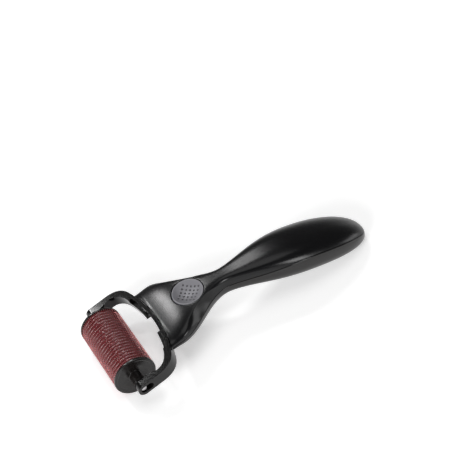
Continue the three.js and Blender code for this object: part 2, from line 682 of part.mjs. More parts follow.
const buttonGroup = new THREE.Group();
buttonGroup.position.set(BUTTON_X, 0, BUTTON_Z);
buttonGroup.rotation.y = -BUTTON_TILT;
buttonGroup.add(node('release_button', releaseButton(), softGrey));
buttonGroup.add(node('button_spring', coilSpring(), steel));
roller.add(buttonGroup);

const latchGroup = new THREE.Group();
latchGroup.position.set(LEAF_ANCHOR_X, 0, leafAnchorZ);
latchGroup.rotation.y = -LEAF_TILT;
latchGroup.add(node('latch_leaf', latchLeaf(), steel));
latchGroup.add(node('latch_screw', latchScrew(), steel));
roller.add(latchGroup);

const head = new THREE.Group();
head.position.z = NEEDLE_TIP_RADIUS;
head.rotation.y = -HEAD_SLOPE;
head.add(node('head_yoke', headYoke(), headBlack));
roller.add(head);

const drum = new THREE.Group();
drum.position.z = NEEDLE_TIP_RADIUS;
addDrum(drum);
roller.add(drum);

export default roller;
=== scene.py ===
"""The finished look of a derma roller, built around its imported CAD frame.

Every length is in metres. +X runs from the drum to the handle's tail, +Z is up, and
the drum turns about an axis along Y. Stations on the handle are distances along X
from the drum's axis.
"""

import json
import math

import bmesh
import bpy
import numpy as np
from bpy.props import FloatProperty, FloatVectorProperty, IntProperty, PointerProperty
from mathutils import Matrix, Vector


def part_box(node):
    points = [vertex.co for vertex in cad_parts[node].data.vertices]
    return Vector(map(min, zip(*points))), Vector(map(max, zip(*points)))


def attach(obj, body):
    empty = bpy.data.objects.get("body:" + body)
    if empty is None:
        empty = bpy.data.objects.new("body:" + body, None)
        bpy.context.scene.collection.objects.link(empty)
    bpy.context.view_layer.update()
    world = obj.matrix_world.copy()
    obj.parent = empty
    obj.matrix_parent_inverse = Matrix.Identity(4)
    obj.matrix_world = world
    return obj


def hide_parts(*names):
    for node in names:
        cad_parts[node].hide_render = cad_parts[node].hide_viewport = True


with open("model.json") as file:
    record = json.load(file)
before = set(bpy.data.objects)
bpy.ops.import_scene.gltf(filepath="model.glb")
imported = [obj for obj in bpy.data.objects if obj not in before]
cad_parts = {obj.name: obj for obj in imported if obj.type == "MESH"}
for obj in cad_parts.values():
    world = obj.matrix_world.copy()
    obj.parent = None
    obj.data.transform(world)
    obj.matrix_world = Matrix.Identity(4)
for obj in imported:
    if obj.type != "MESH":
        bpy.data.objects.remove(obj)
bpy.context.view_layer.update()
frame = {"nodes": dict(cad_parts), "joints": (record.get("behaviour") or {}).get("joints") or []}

bl_info = {
    "name": "Derma Roller",
    "version": (1, 0, 0),
    "blender": (4, 5, 0),
    "location": "3D View > Sidebar > Derma Roller",
    "description": "Builds the finished pieces of a derma roller around its CAD frame",
    "category": "Object",
}

MM = 0.001

# ---- Places that the frame gives ----------------------------------------------

JOINTS = {joint["name"]: joint for joint in frame["joints"]}
AXIS_X, _, AXIS_Z = JOINTS["drum_spin"]["pos_m"]
DISC_NODES = sorted(n for n in frame["nodes"] if n.startswith("needle_disc_"))
SPACER_NODES = sorted(n for n in frame["nodes"] if n.startswith("spacer_"))
HEAD_SLOPE = math.atan2(-JOINTS["head_release"]["axis"][2], -JOINTS["head_release"]["axis"][0])
BUTTON_TILT = math.atan2(JOINTS["button_press"]["axis"][0], -JOINTS["button_press"]["axis"][2])
TIP_RADIUS = (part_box("needle_disc_01")[1].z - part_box("needle_disc_01")[0].z) / 2
SPACER_RADIUS = (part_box("spacer_01")[1].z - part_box("spacer_01")[0].z) / 2
CAP_RADIUS = (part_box("end_cap_left")[1].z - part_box("end_cap_left")[0].z) / 2
HEAD_HALF_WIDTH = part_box("head_yoke")[1].y
AXLE_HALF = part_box("axle")[1].y
AXLE_RADIUS = (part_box("axle")[1].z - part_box("axle")[0].z) / 2
TAIL_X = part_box("handle_bottom_shell")[1].x - AXIS_X
DISC_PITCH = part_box("needle_disc_02")[0].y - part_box("needle_disc_01")[0].y
SPACER_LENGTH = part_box("spacer_01")[1].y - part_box("spacer_01")[0].y
DISC_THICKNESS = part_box("needle_disc_01")[1].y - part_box("needle_disc_01")[0].y
CAP_INNER_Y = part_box("end_cap_right")[0].y
HUB_END_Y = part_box("end_cap_right")[1].y


# ---- Sizes and colours that can be changed -------------------------------------

def length(name, description, default):
    return FloatProperty(name=name, description=description, default=default,
                         min=0.0, unit="LENGTH", precision=5)


def colour(name, description, red, green, blue):
    """A colour property, given in 0 to 255 display values."""
    linear = [((c / 255) / 12.92 if c <= 10 else ((c / 255 + 0.055) / 1.055) ** 2.4)
              for c in (red, green, blue)]
    return FloatVectorProperty(name=name, description=description, subtype="COLOR", size=3,
                               default=linear, min=0.0, max=1.0)


class RollerHandleSizes(bpy.types.PropertyGroup):
    shoulder_x: length("Shoulder", "Where the flare behind the head starts to narrow", 0.02697)
    neck_x: length("Neck", "Where the handle is narrowest", 0.06203)
    palm_x: length("Palm", "Where the handle is widest behind the neck", 0.10603)
    thumb_x: length("Thumb rest", "Where the handle is deepest under the button", 0.04403)
    crest_x: length("Crest", "Where the handle's centre line is highest", 0.05453)
    flare_half_width: length("Flare half width", "Half the width at the head", 0.021)
    neck_half_width: length("Neck half width", "Half the width at the neck", 0.0051)
    palm_half_width: length("Palm half width", "Half the width at the palm", 0.0144)
    front_half_depth: length("Front half depth", "Half the depth at the head", 0.0032)
    thumb_half_depth: length("Thumb half depth", "Half the depth under the button", 0.0061)
    neck_half_depth: length("Neck half depth", "Half the depth at the neck", 0.0057)
    palm_half_depth: length("Palm half depth", "Half the depth at the palm", 0.0096)
    crest_rise: length("Crest rise", "How far the centre line rises from the head", 0.0026)
    wall: length("Wall", "The shells' wall", 0.0018)
    gap: length("Parting gap", "Gap between the two shells", 0.0003)
    crease_radius: length("Crease radius", "Rounding of the crease along each side", 0.0004)
    edge_radius: length("Edge radius", "Rounding of the shells' edges", 0.00035)
    scoop: FloatProperty(name="Scoop", default=0.2, min=0.0, max=1.0,
                         description="How far the flank under the crease is hollowed")


class RollerButtonSizes(bpy.types.PropertyGroup):
    station_x: length("Station", "Where the button's axis meets the crown", 0.04263)
    radius: length("Radius", "The button's radius", 0.00815)
    recess: length("Recess", "How far the rim sits below the crown", 0.00035)
    rim_depth: length("Rim depth", "Height of the button's side", 0.0029)
    dish_radius: length("Dish radius", "Radius of the thumb dish", 0.0077)
    dish_depth: length("Dish depth", "Depth of the thumb dish", 0.0022)
    stem_radius: length("Stem radius", "Radius of the stem below the button", 0.002)
    dimple_radius: length("Dimple radius", "Radius of each grip dimple", 0.0006)
    dimple_pitch: length("Dimple pitch", "Distance between neighbouring dimples", 0.0021)
    dimple_rows: IntProperty(name="Dimple rows", default=5, min=1, max=9,
                             description="Rows of dimples each way in the diamond pattern")


class RollerHeadSizes(bpy.types.PropertyGroup):
    height: length("Height", "Height of the bar and the arms", 0.0064)
    eye_thickness: length("Eye thickness", "Thickness of each arm at its eye", 0.0046)
    root_thickness: length("Root thickness", "Thickness of each arm at the bar", 0.003)
    root_u: length("Root", "Where the arms start to turn into the bar", 0.010)
    bar_reach: length("Bar reach", "From the drum's axis to the bar's back face", 0.0246)
    bar_bow: length("Bar bow", "How far the bar's middle bows to the handle", 0.0035)
    bar_half_chord: length("Bar half chord", "Half the bar's length between its corners", 0.0234)
    bar_depth: length("Bar depth", "The bar from front to back", 0.0037)
    bar_wall: length("Bar wall", "The bar behind its inner ledge", 0.0018)
    ledge_drop: length("Ledge drop", "From the bar's top to its inner ledge", 0.0026)
    ledge_half_length: length("Ledge half length", "Half the inner ledge's length", 0.0195)
    ledge_notch: length("Ledge notch", "Gap in the middle of the inner ledge", 0.014)
    slot_travel: length("Slot travel", "Length of the eye's slot between its round ends", 0.0032)
    tongue_width: length("Tongue width", "Width of the tongue in the handle", 0.020)
    tongue_thickness: length("Tongue thickness", "Thickness of the tongue", 0.0024)
    tongue_length: length("Tongue length", "How far the tongue reaches past the bar", 0.009)
    window: length("Catch window", "The tongue's catch window along the handle", 0.002)
    window_width: length("Catch window width", "The catch window across the handle", 0.007)
    window_lip: length("Catch lip", "Tongue left behind the catch window", 0.0014)
    bevel: length("Bevel", "Rounding of the head's edges", 0.00018)


class RollerDrumSizes(bpy.types.PropertyGroup):
    needles: IntProperty(name="Needles", default=60, min=12, max=120,
                         description="Needles round each disc")
    needle_width: length("Needle width", "Width of a needle at its root", 0.00085)
    needle_reach: length("Needle reach", "How far a needle reaches into its disc", 0.0012)
    teeth_depth: length("Teeth depth", "Depth of the waves in each spacer's rim", 0.00042)
    axle_bore: length("Axle bore", "Radius of the bore round the axle", 0.00175)
    core_bore: length("Core bore", "Inner radius of the discs and the spacers", 0.00525)
    cap_thickness: length("Cap thickness", "Thickness of each end cap", 0.00115)
    cap_dish_radius: length("Cap dish radius", "Radius of the dish in each cap", 0.006)
    cap_dish_depth: length("Cap dish depth", "Depth of the dish in each cap", 0.0006)
    hub_radius: length("Hub radius", "Radius of each cap's hub", 0.003)


class RollerFinishes(bpy.types.PropertyGroup):
    satin_black: colour("Satin black", "The handle's top shell", 10, 10, 12)
    gloss_black: colour("Gloss black", "The handle's bottom shell", 12, 10, 9)
    head_black: colour("Head black", "The head's moulding", 10, 9, 9)
    cap_black: colour("Cap black", "The drum's end caps", 24, 21, 20)
    button_grey: colour("Button grey", "The thumb button", 132, 131, 136)
    spacer_red: colour("Spacer red", "The spacer rings and the core", 104, 8, 20)
    needle_steel: colour("Needle steel", "The needle discs", 178, 104, 104)
    plain_steel: colour("Plain steel", "The axle, spring, leaf and screw", 196, 194, 196)
    floor: colour("Floor", "The floor under the roller", 250, 250, 250)


class RollerStageSizes(bpy.types.PropertyGroup):
    azimuth: FloatProperty(name="Azimuth", default=19.89, description="Camera azimuth, degrees")
    elevation: FloatProperty(name="Elevation", default=43.34,
                             description="Camera elevation, degrees")
    roll: FloatProperty(name="Roll", default=13.74, description="Camera roll, degrees")
    distance: length("Distance", "From the drum's axis to the camera", 0.59907)
    offset_right: length("Offset right", "Camera offset to its right", 0.05099)
    offset_up: length("Offset up", "Camera offset upwards", 0.06961)
    lens: FloatProperty(name="Lens", default=96.0, description="Focal length, millimetres")


SETTINGS = {
    "roller_handle": RollerHandleSizes,
    "roller_button": RollerButtonSizes,
    "roller_head": RollerHeadSizes,
    "roller_drum": RollerDrumSizes,
    "roller_finish": RollerFinishes,
    "roller_stage": RollerStageSizes,
}


# ---- Mesh helpers ----------------------------------------------------------------

def show_mesh(name, mesh):
    """Puts a mesh into the scene as an object at the origin."""
    piece = bpy.data.objects.new(name, mesh)
    bpy.context.scene.collection.objects.link(piece)
    return piece


def solid(name, points, faces, merge=0.001 * MM):
    """A closed mesh with its doubles merged and its faces pointing outwards."""
    mesh = bpy.data.meshes.new(name)
    mesh.from_pydata([tuple(map(float, p)) for p in points], [], [tuple(f) for f in faces])
    body = bmesh.new()
    body.from_mesh(mesh)
    bmesh.ops.remove_doubles(body, verts=body.verts, dist=merge)
    bmesh.ops.dissolve_degenerate(body, edges=body.edges, dist=merge)
    bmesh.ops.recalc_face_normals(body, faces=body.faces)
    body.to_mesh(mesh)
    body.free()
    return show_mesh(name, mesh)


def tube_faces(rows, columns, closed_rows=False):
    """Quads between neighbouring rings, each ring closed."""
    faces = []
    for i in range(rows if closed_rows else rows - 1):
        for j in range(columns):
            a, b = i * columns + j, i * columns + (j + 1) % columns
            c, d = ((i + 1) % rows) * columns + (j + 1) % columns, ((i + 1) % rows) * columns + j
            faces.append((a, b, c, d))
    return faces


def turned(name, profile, sides):
    """A closed turned solid about the Y axis from an open or closed (radius, y) profile."""
    points, count = [], len(profile)
    for k in range(sides):
        angle = 2 * math.pi * k / sides
        for radius, y in profile:
            points.append((radius * math.cos(angle), y, radius * math.sin(angle)))
    faces = []
    for k in range(sides):
        for j in range(count - 1):
            a, b = k * count + j, k * count + j + 1
            c, d = ((k + 1) % sides) * count + j + 1, ((k + 1) % sides) * count + j
            faces.append((a, b, c, d))
    return solid(name, points, faces)


def rounded(profile, radius, steps=4):
    """An open (a, b) polyline with its inner corners rounded."""
    points = [Vector(p) for p in profile]
    result = [points[0]]
    for before, corner, after in zip(points, points[1:], points[2:]):
        reach = min(radius, (corner - before).length / 2.1, (after - corner).length / 2.1)
        start = corner + (before - corner).normalized() * reach
        end = corner + (after - corner).normalized() * reach
        for step in range(steps + 1):
            t = step / steps
            result.append(start * (1 - t) ** 2 + corner * 2 * t * (1 - t) + end * t ** 2)
    result.append(points[-1])
    return [tuple(p) for p in result]


def prism(name, outline, low, high):
    """An upright prism on a flat outline of (x, y) points."""
    count = len(outline)
    points = [(x, y, low) for x, y in outline] + [(x, y, high) for x, y in outline]
    faces = [tuple(range(count))[::-1], tuple(range(count, 2 * count))]
    faces += [(j, (j + 1) % count, count + (j + 1) % count, count + j) for j in range(count)]
    return solid(name, points, faces)


def side_prism(name, outline, half):
    """A prism along Y on an outline of (x, z) points."""
    piece = prism(name, outline, -half, half)
    piece.data.transform(Matrix.Rotation(math.radians(90), 4, "X"))
    return piece


def box(name, low, high):
    outline = [(low[0], low[1]), (high[0], low[1]), (high[0], high[1]), (low[0], high[1])]
    return prism(name, outline, low[2], high[2])


def arc(centre, radius, start, end, steps):
    return [(centre[0] + radius * math.cos(start + (end - start) * k / steps),
             centre[1] + radius * math.sin(start + (end - start) * k / steps))
            for k in range(steps + 1)]


def curve_through(start, control, end, steps):
    """Points on a quadratic curve."""
    result = []
    for k in range(steps + 1):
        t = k / steps
        result.append(tuple(start[i] * (1 - t) ** 2 + control[i] * 2 * t * (1 - t)
                            + end[i] * t ** 2 for i in (0, 1)))
    return result


def as_plain_mesh(piece):
    """Replaces the object's mesh with its evaluated one and drops the modifiers."""
    bpy.context.view_layer.update()
    graph = bpy.context.evaluated_depsgraph_get()
    mesh = bpy.data.meshes.new_from_object(piece.evaluated_get(graph), depsgraph=graph)
    piece.modifiers.clear()
    old = piece.data
    piece.data = mesh
    bpy.data.meshes.remove(old)
    return piece


def carve(piece, operation, *tools):
    """Joins to or cuts from a solid, and deletes the tools."""
    for tool in tools:
        change = piece.modifiers.new("carve", "BOOLEAN")
        change.operation = operation
        change.solver = "EXACT"
        change.object = tool
    as_plain_mesh(piece)
    for tool in tools:
        bpy.data.objects.remove(tool)
    return piece


def soften_edges(piece, width, angle=35, segments=3):
    bevel = piece.modifiers.new("bevel", "BEVEL")
    bevel.width = width
    bevel.segments = segments
    bevel.limit_method = "ANGLE"
    bevel.angle_limit = math.radians(angle)
    bevel.use_clamp_overlap = True
    return as_plain_mesh(piece)


def place(piece, matrix):
    piece.data.transform(matrix)
    return piece


def finish_piece(piece, body, material, replaced=(), sharp=40):
    """Shading, material, body and the CAD nodes that the piece stands for."""
    mesh = piece.data
    mesh.materials.clear()
    mesh.materials.append(material)
    mesh.polygons.foreach_set("use_smooth", [True] * len(mesh.polygons))
    mesh.set_sharp_from_angle(angle=math.radians(sharp))
    # Wide faces keep flat shading beside their narrow bevels.
    level = piece.modifiers.new("weighted_normals", "WEIGHTED_NORMAL")
    level.keep_sharp = True
    as_plain_mesh(piece)
    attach(piece, body)
    if replaced:
        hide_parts(*replaced)
    return piece


def in_drum_frame():
    return Matrix.Translation((AXIS_X, 0, AXIS_Z))


def in_head_frame():
    return in_drum_frame() @ Matrix.Rotation(-HEAD_SLOPE, 4, "Y")


# ---- Shader groups ---------------------------------------------------------------

def new_group(name, inputs, outputs):
    """An empty shader group with its named sockets."""
    tree = bpy.data.node_groups.new(name, "ShaderNodeTree")
    for title, kind, default in inputs:
        socket = tree.interface.new_socket(name=title, in_out="INPUT", socket_type=kind)
        socket.default_value = default
    for title, kind in outputs:
        tree.interface.new_socket(name=title, in_out="OUTPUT", socket_type=kind)
    return tree, tree.nodes.new("NodeGroupInput"), tree.nodes.new("NodeGroupOutput")


def add_node(tree, kind, **settings):
    node = tree.nodes.new(kind)
    for key, value in settings.items():
        setattr(node, key, value)
    return node


def noise_of(tree, vector, scale, detail=3.0, roughness=0.55):
    """A noise value on the given coordinates; scale is a socket or a number."""
    noise = add_node(tree, "ShaderNodeTexNoise", noise_dimensions="3D")
    noise.inputs["Detail"].default_value = detail
    noise.inputs["Roughness"].default_value = roughness
    tree.links.new(vector, noise.inputs["Vector"])
    if isinstance(scale, (int, float)):
        noise.inputs["Scale"].default_value = scale
    else:
        tree.links.new(scale, noise.inputs["Scale"])
    return noise.outputs["Fac"]


def maths(tree, operation, first, second):
    node = add_node(tree, "ShaderNodeMath", operation=operation)
    for socket, value in zip(node.inputs, (first, second)):
        if isinstance(value, (int, float)):
            socket.default_value = value
        else:
            tree.links.new(value, socket)
    return node.outputs[0]


def ramp_of(tree, value, low, high, to_low=0.0, to_high=1.0):
    node = add_node(tree, "ShaderNodeMapRange", clamp=True)
    tree.links.new(value, node.inputs["Value"])
    for title, number in (("From Min", low), ("From Max", high),
                          ("To Min", to_low), ("To Max", to_high)):
        node.inputs[title].default_value = number
    return node.outputs["Result"]


def moulded_grain_group():
    """Fine moulded grain as a height."""
    tree, given, made = new_group(
        "moulded_grain",
        [("Vector", "NodeSocketVector", (0, 0, 0)), ("Scale", "NodeSocketFloat", 4000.0)],
        [("Height", "NodeSocketFloat")])
    fine = noise_of(tree, given.outputs["Vector"], given.outputs["Scale"], 2.0)
    broad = noise_of(tree, given.outputs["Vector"],
                     maths(tree, "MULTIPLY", given.outputs["Scale"], 0.17), 2.0)
    tree.links.new(maths(tree, "ADD", fine, broad), made.inputs["Height"])
    return tree


def handling_group():
    """Roughness that varies with handling: broad smears and fine scratches."""
    tree, given, made = new_group(
        "handling",
        [("Vector", "NodeSocketVector", (0, 0, 0)), ("Base", "NodeSocketFloat", 0.4),
         ("Spread", "NodeSocketFloat", 0.12), ("Scratches", "NodeSocketFloat", 0.05)],
        [("Roughness", "NodeSocketFloat"), ("Scratch", "NodeSocketFloat")])
    smear = ramp_of(tree, noise_of(tree, given.outputs["Vector"], 70.0, 4.0), 0.3, 0.7, -0.5, 0.5)
    stretch = add_node(tree, "ShaderNodeMapping", vector_type="POINT")
    stretch.inputs["Rotation"].default_value = (0.2, 0.1, 0.5)
    stretch.inputs["Scale"].default_value = (120.0, 2600.0, 900.0)
    tree.links.new(given.outputs["Vector"], stretch.inputs["Vector"])
    scratch = ramp_of(tree, noise_of(tree, stretch.outputs["Vector"], 1.0, 2.0), 0.66, 0.74)
    total = maths(tree, "ADD", given.outputs["Base"],
                  maths(tree, "MULTIPLY", smear, given.outputs["Spread"]))
    total = maths(tree, "ADD", total,
                  maths(tree, "MULTIPLY", scratch, given.outputs["Scratches"]))
    tree.links.new(total, made.inputs["Roughness"])
    tree.links.new(scratch, made.inputs["Scratch"])
    return tree


def edge_wear_group():
    """A mask that is 1 where a convex edge is rubbed."""
    tree, given, made = new_group(
        "edge_wear",
        [("Vector", "NodeSocketVector", (0, 0, 0)), ("Amount", "NodeSocketFloat", 0.5)],
        [("Mask", "NodeSocketFloat")])
    surface = add_node(tree, "ShaderNodeNewGeometry")
    edge = ramp_of(tree, surface.outputs["Pointiness"], 0.53, 0.62)
    patches = ramp_of(tree, noise_of(tree, given.outputs["Vector"], 260.0, 4.0), 0.42, 0.68)
    mask = maths(tree, "MULTIPLY", edge, patches)
    tree.links.new(maths(tree, "MULTIPLY", mask, given.outputs["Amount"]), made.inputs["Mask"])
    return tree


def pit_shade_group():
    """A painted shade mask: 1 in pits and narrow corners, where shade falls, in patches."""
    tree, given, made = new_group(
        "pit_shade",
        [("Vector", "NodeSocketVector", (0, 0, 0)), ("Amount", "NodeSocketFloat", 0.3)],
        [("Mask", "NodeSocketFloat")])
    surface = add_node(tree, "ShaderNodeNewGeometry")
    hollow = ramp_of(tree, surface.outputs["Pointiness"], 0.49, 0.44)
    patches = ramp_of(tree, noise_of(tree, given.outputs["Vector"], 300.0, 3.0), 0.2, 0.5)
    mask = maths(tree, "MULTIPLY", hollow, patches)
    tree.links.new(maths(tree, "MULTIPLY", mask, given.outputs["Amount"]), made.inputs["Mask"])
    return tree


def dust_group():
    """A thin mask of dust on faces that look up."""
    tree, given, made = new_group(
        "dust",
        [("Vector", "NodeSocketVector", (0, 0, 0)), ("Amount", "NodeSocketFloat", 0.1)],
        [("Mask", "NodeSocketFloat")])
    surface = add_node(tree, "ShaderNodeNewGeometry")
    parts = add_node(tree, "ShaderNodeSeparateXYZ")
    tree.links.new(surface.outputs["Normal"], parts.inputs[0])
    upward = ramp_of(tree, parts.outputs["Z"], 0.2, 1.0)
    specks = ramp_of(tree, noise_of(tree, given.outputs["Vector"], 3200.0, 1.0), 0.70, 0.78)
    mask = maths(tree, "MULTIPLY", upward, specks)
    tree.links.new(maths(tree, "MULTIPLY", mask, given.outputs["Amount"]), made.inputs["Mask"])
    return tree


GROUP_MAKERS = {
    "moulded_grain": moulded_grain_group,
    "handling": handling_group,
    "edge_wear": edge_wear_group,
    "pit_shade": pit_shade_group,
    "dust": dust_group,
}


def use_group(tree, name, vector, **values):
    """Places a shared group in a material, building it the first time."""
    if name not in bpy.data.node_groups:
        GROUP_MAKERS[name]()
    node = add_node(tree, "ShaderNodeGroup", node_tree=bpy.data.node_groups[name])
    tree.links.new(vector, node.inputs["Vector"])
    for title, value in values.items():
        node.inputs[title].default_value = value
    return node


FINISHES = {}


def finish(name, base, rough, metallic=0.0, spread=0.1, scratches=0.04, grain=0.05,
           grain_scale=4000.0, wear=0.3, dust=0.1, coat=0.0, specular=0.5, tint=0.08,
           pit_shade=0.2):
    """A moulded or ground finish from the shared groups, with painted shade darkening its pits
    and corners.
    """
    if name in FINISHES:
        return FINISHES[name]
    material = FINISHES[name] = bpy.data.materials.new(name + "_finish")
    material.use_nodes = True
    tree = material.node_tree
    shader = tree.nodes["Principled BSDF"]
    place_of = add_node(tree, "ShaderNodeTexCoord").outputs["Object"]
    base = tuple(base)
    worn = tuple(min(1.0, c * 2.2 + 0.02) for c in base)
    cloudy = add_node(tree, "ShaderNodeMix", data_type="RGBA", blend_type="MIX")
    cloudy.inputs[6].default_value = (*[c * (1 - tint) for c in base], 1)
    cloudy.inputs[7].default_value = (*[min(1.0, c * (1 + tint)) for c in base], 1)
    tree.links.new(noise_of(tree, place_of, 45.0, 3.0), cloudy.inputs[0])
    worn_mix = add_node(tree, "ShaderNodeMix", data_type="RGBA", blend_type="MIX")
    worn_mix.inputs[7].default_value = (*worn, 1)
    tree.links.new(cloudy.outputs[2], worn_mix.inputs[6])
    edge = use_group(tree, "edge_wear", place_of, Amount=wear)
    tree.links.new(edge.outputs["Mask"], worn_mix.inputs[0])
    dusty = add_node(tree, "ShaderNodeMix", data_type="RGBA", blend_type="MIX")
    dusty.inputs[7].default_value = (0.45, 0.44, 0.42, 1)
    tree.links.new(worn_mix.outputs[2], dusty.inputs[6])
    tree.links.new(use_group(tree, "dust", place_of, Amount=dust).outputs["Mask"],
                   dusty.inputs[0])
    # Painted shade: the base colour darkens to 15% in pits and narrow corners.
    pit_shaded = add_node(tree, "ShaderNodeMix", data_type="RGBA", blend_type="MIX")
    pit_shaded.inputs[7].default_value = (*[c * 0.15 for c in base], 1)
    tree.links.new(dusty.outputs[2], pit_shaded.inputs[6])
    tree.links.new(use_group(tree, "pit_shade", place_of, Amount=pit_shade).outputs["Mask"],
                   pit_shaded.inputs[0])
    tree.links.new(pit_shaded.outputs[2], shader.inputs["Base Color"])
    marks = use_group(tree, "handling", place_of, Base=rough, Spread=spread,
                      Scratches=scratches)
    tree.links.new(marks.outputs["Roughness"], shader.inputs["Roughness"])
    bump = add_node(tree, "ShaderNodeBump")
    bump.inputs["Strength"].default_value = grain
    bump.inputs["Distance"].default_value = 0.006 * MM
    tree.links.new(use_group(tree, "moulded_grain", place_of, Scale=grain_scale)
                   .outputs["Height"], bump.inputs["Height"])
    tree.links.new(bump.outputs["Normal"], shader.inputs["Normal"])
    shader.inputs["Metallic"].default_value = metallic
    shader.inputs["Coat Weight"].default_value = coat
    shader.inputs["Coat Roughness"].default_value = 0.08
    shader.inputs["Specular IOR Level"].default_value = specular
    return material


def finish_of(slot):
    """The material for a slot of the record."""
    colours = bpy.context.scene.roller_finish
    if slot == "satin_black":
        return finish(slot, colours.satin_black, 0.23, spread=0.05, grain=0.05, wear=0.2,
                      specular=0.32)
    if slot == "gloss_black":
        return finish(slot, colours.gloss_black, 0.17, spread=0.05, grain=0.03, wear=0.15,
                      specular=0.5)
    if slot == "head_black":
        return finish(slot, colours.head_black, 0.09, spread=0.02, grain=0.06, wear=0.1,
                      specular=0.4)
    if slot == "cap_black":
        return finish(slot, colours.cap_black, 0.26, spread=0.06, grain=0.08, wear=0.2,
                      specular=0.4)
    if slot == "button_grey":
        # The button gets strong painted shade in its dimples and corners.
        return finish(slot, colours.button_grey, 0.42, metallic=0.1, spread=0.05,
                      grain=0.15, wear=0.1, tint=0.05, pit_shade=0.9)
    if slot == "spacer_red":
        return finish(slot, colours.spacer_red, 0.13, spread=0.05, grain=0.03, wear=0.0,
                      dust=0.04, specular=0.85, tint=0.15)
    if slot == "needle_steel":
        return finish(slot, colours.needle_steel, 0.35, metallic=0.55, grain=0.05, wear=0.0,
                      dust=0.0, scratches=0.1)
    if slot == "plain_steel":
        return finish(slot, colours.plain_steel, 0.26, metallic=1.0, grain=0.05, wear=0.0,
                      dust=0.0, scratches=0.1)
    raise ValueError(f"no finish for slot {slot}")


# ---- Handle form -----------------------------------------------------------------

SWELL_POWER = 0.8
DISH_POWER = 2.4                 # 2 is a plain bowl, more is steeper at the rim
TAIL_POWER = 2.35
FLARE_SECTION_POWER = 4.0        # 2 is an ellipse, more is squarer
PALM_SECTION_POWER = 2.4
PARTING_SHARE = 0.45
CREASE_TOP_SHARE = 0.93
CREASE_LOW_SHARE = 0.42
CREASE_FALL_X = 48 * MM         # where the crease starts to drop from the crown
CREASE_FALL_RUN = 22 * MM
CREASE_DIP_X = 44 * MM         # in front of here it also dips, as the flare widens
CREASE_DIP_RUN = 14 * MM
CREASE_DIP_SHARE = 0.08
CREASE_MARGIN = 0.04            # the crease stays this share above the parting line
CREASE_FADE = 0.2
HOLLOW_START_X = 29 * MM        # where the flank under the crease starts to be hollow
HOLLOW_RUN = 13 * MM
TIP_MARGIN = 0.05 * MM          # the tail's curves close this far past its tip
RING_GAP = 0.02 * MM            # between a hollow ring and the solid one next to it
FRONT_STEPS = 8
BODY_STATIONS = 84
TAIL_STATIONS = 48
SLIDE = 0.25 * MM               # between sliding and turning pieces, each side
OVERRUN = 1 * MM                # how far a cutter reaches past what it cuts
SPRING_ROOM = 2.6 * MM          # under the button, for its spring and travel
WELL_WALL = 1 * MM
CUP_TOP = -1.2 * MM
WELL_ROUNDING = 0.45 * MM
STEM_SIDES = 32
NEEDLE_TIP_SHARE = 0.15         # a needle's thickness at its tip, as a share of the disc's
CAVITY_FRONT_X = 28.97 * MM


def ease(t):
    t = min(max(t, 0.0), 1.0)
    return t * t * (3 - 2 * t)


def mix(a, b, t):
    return a + (b - a) * t


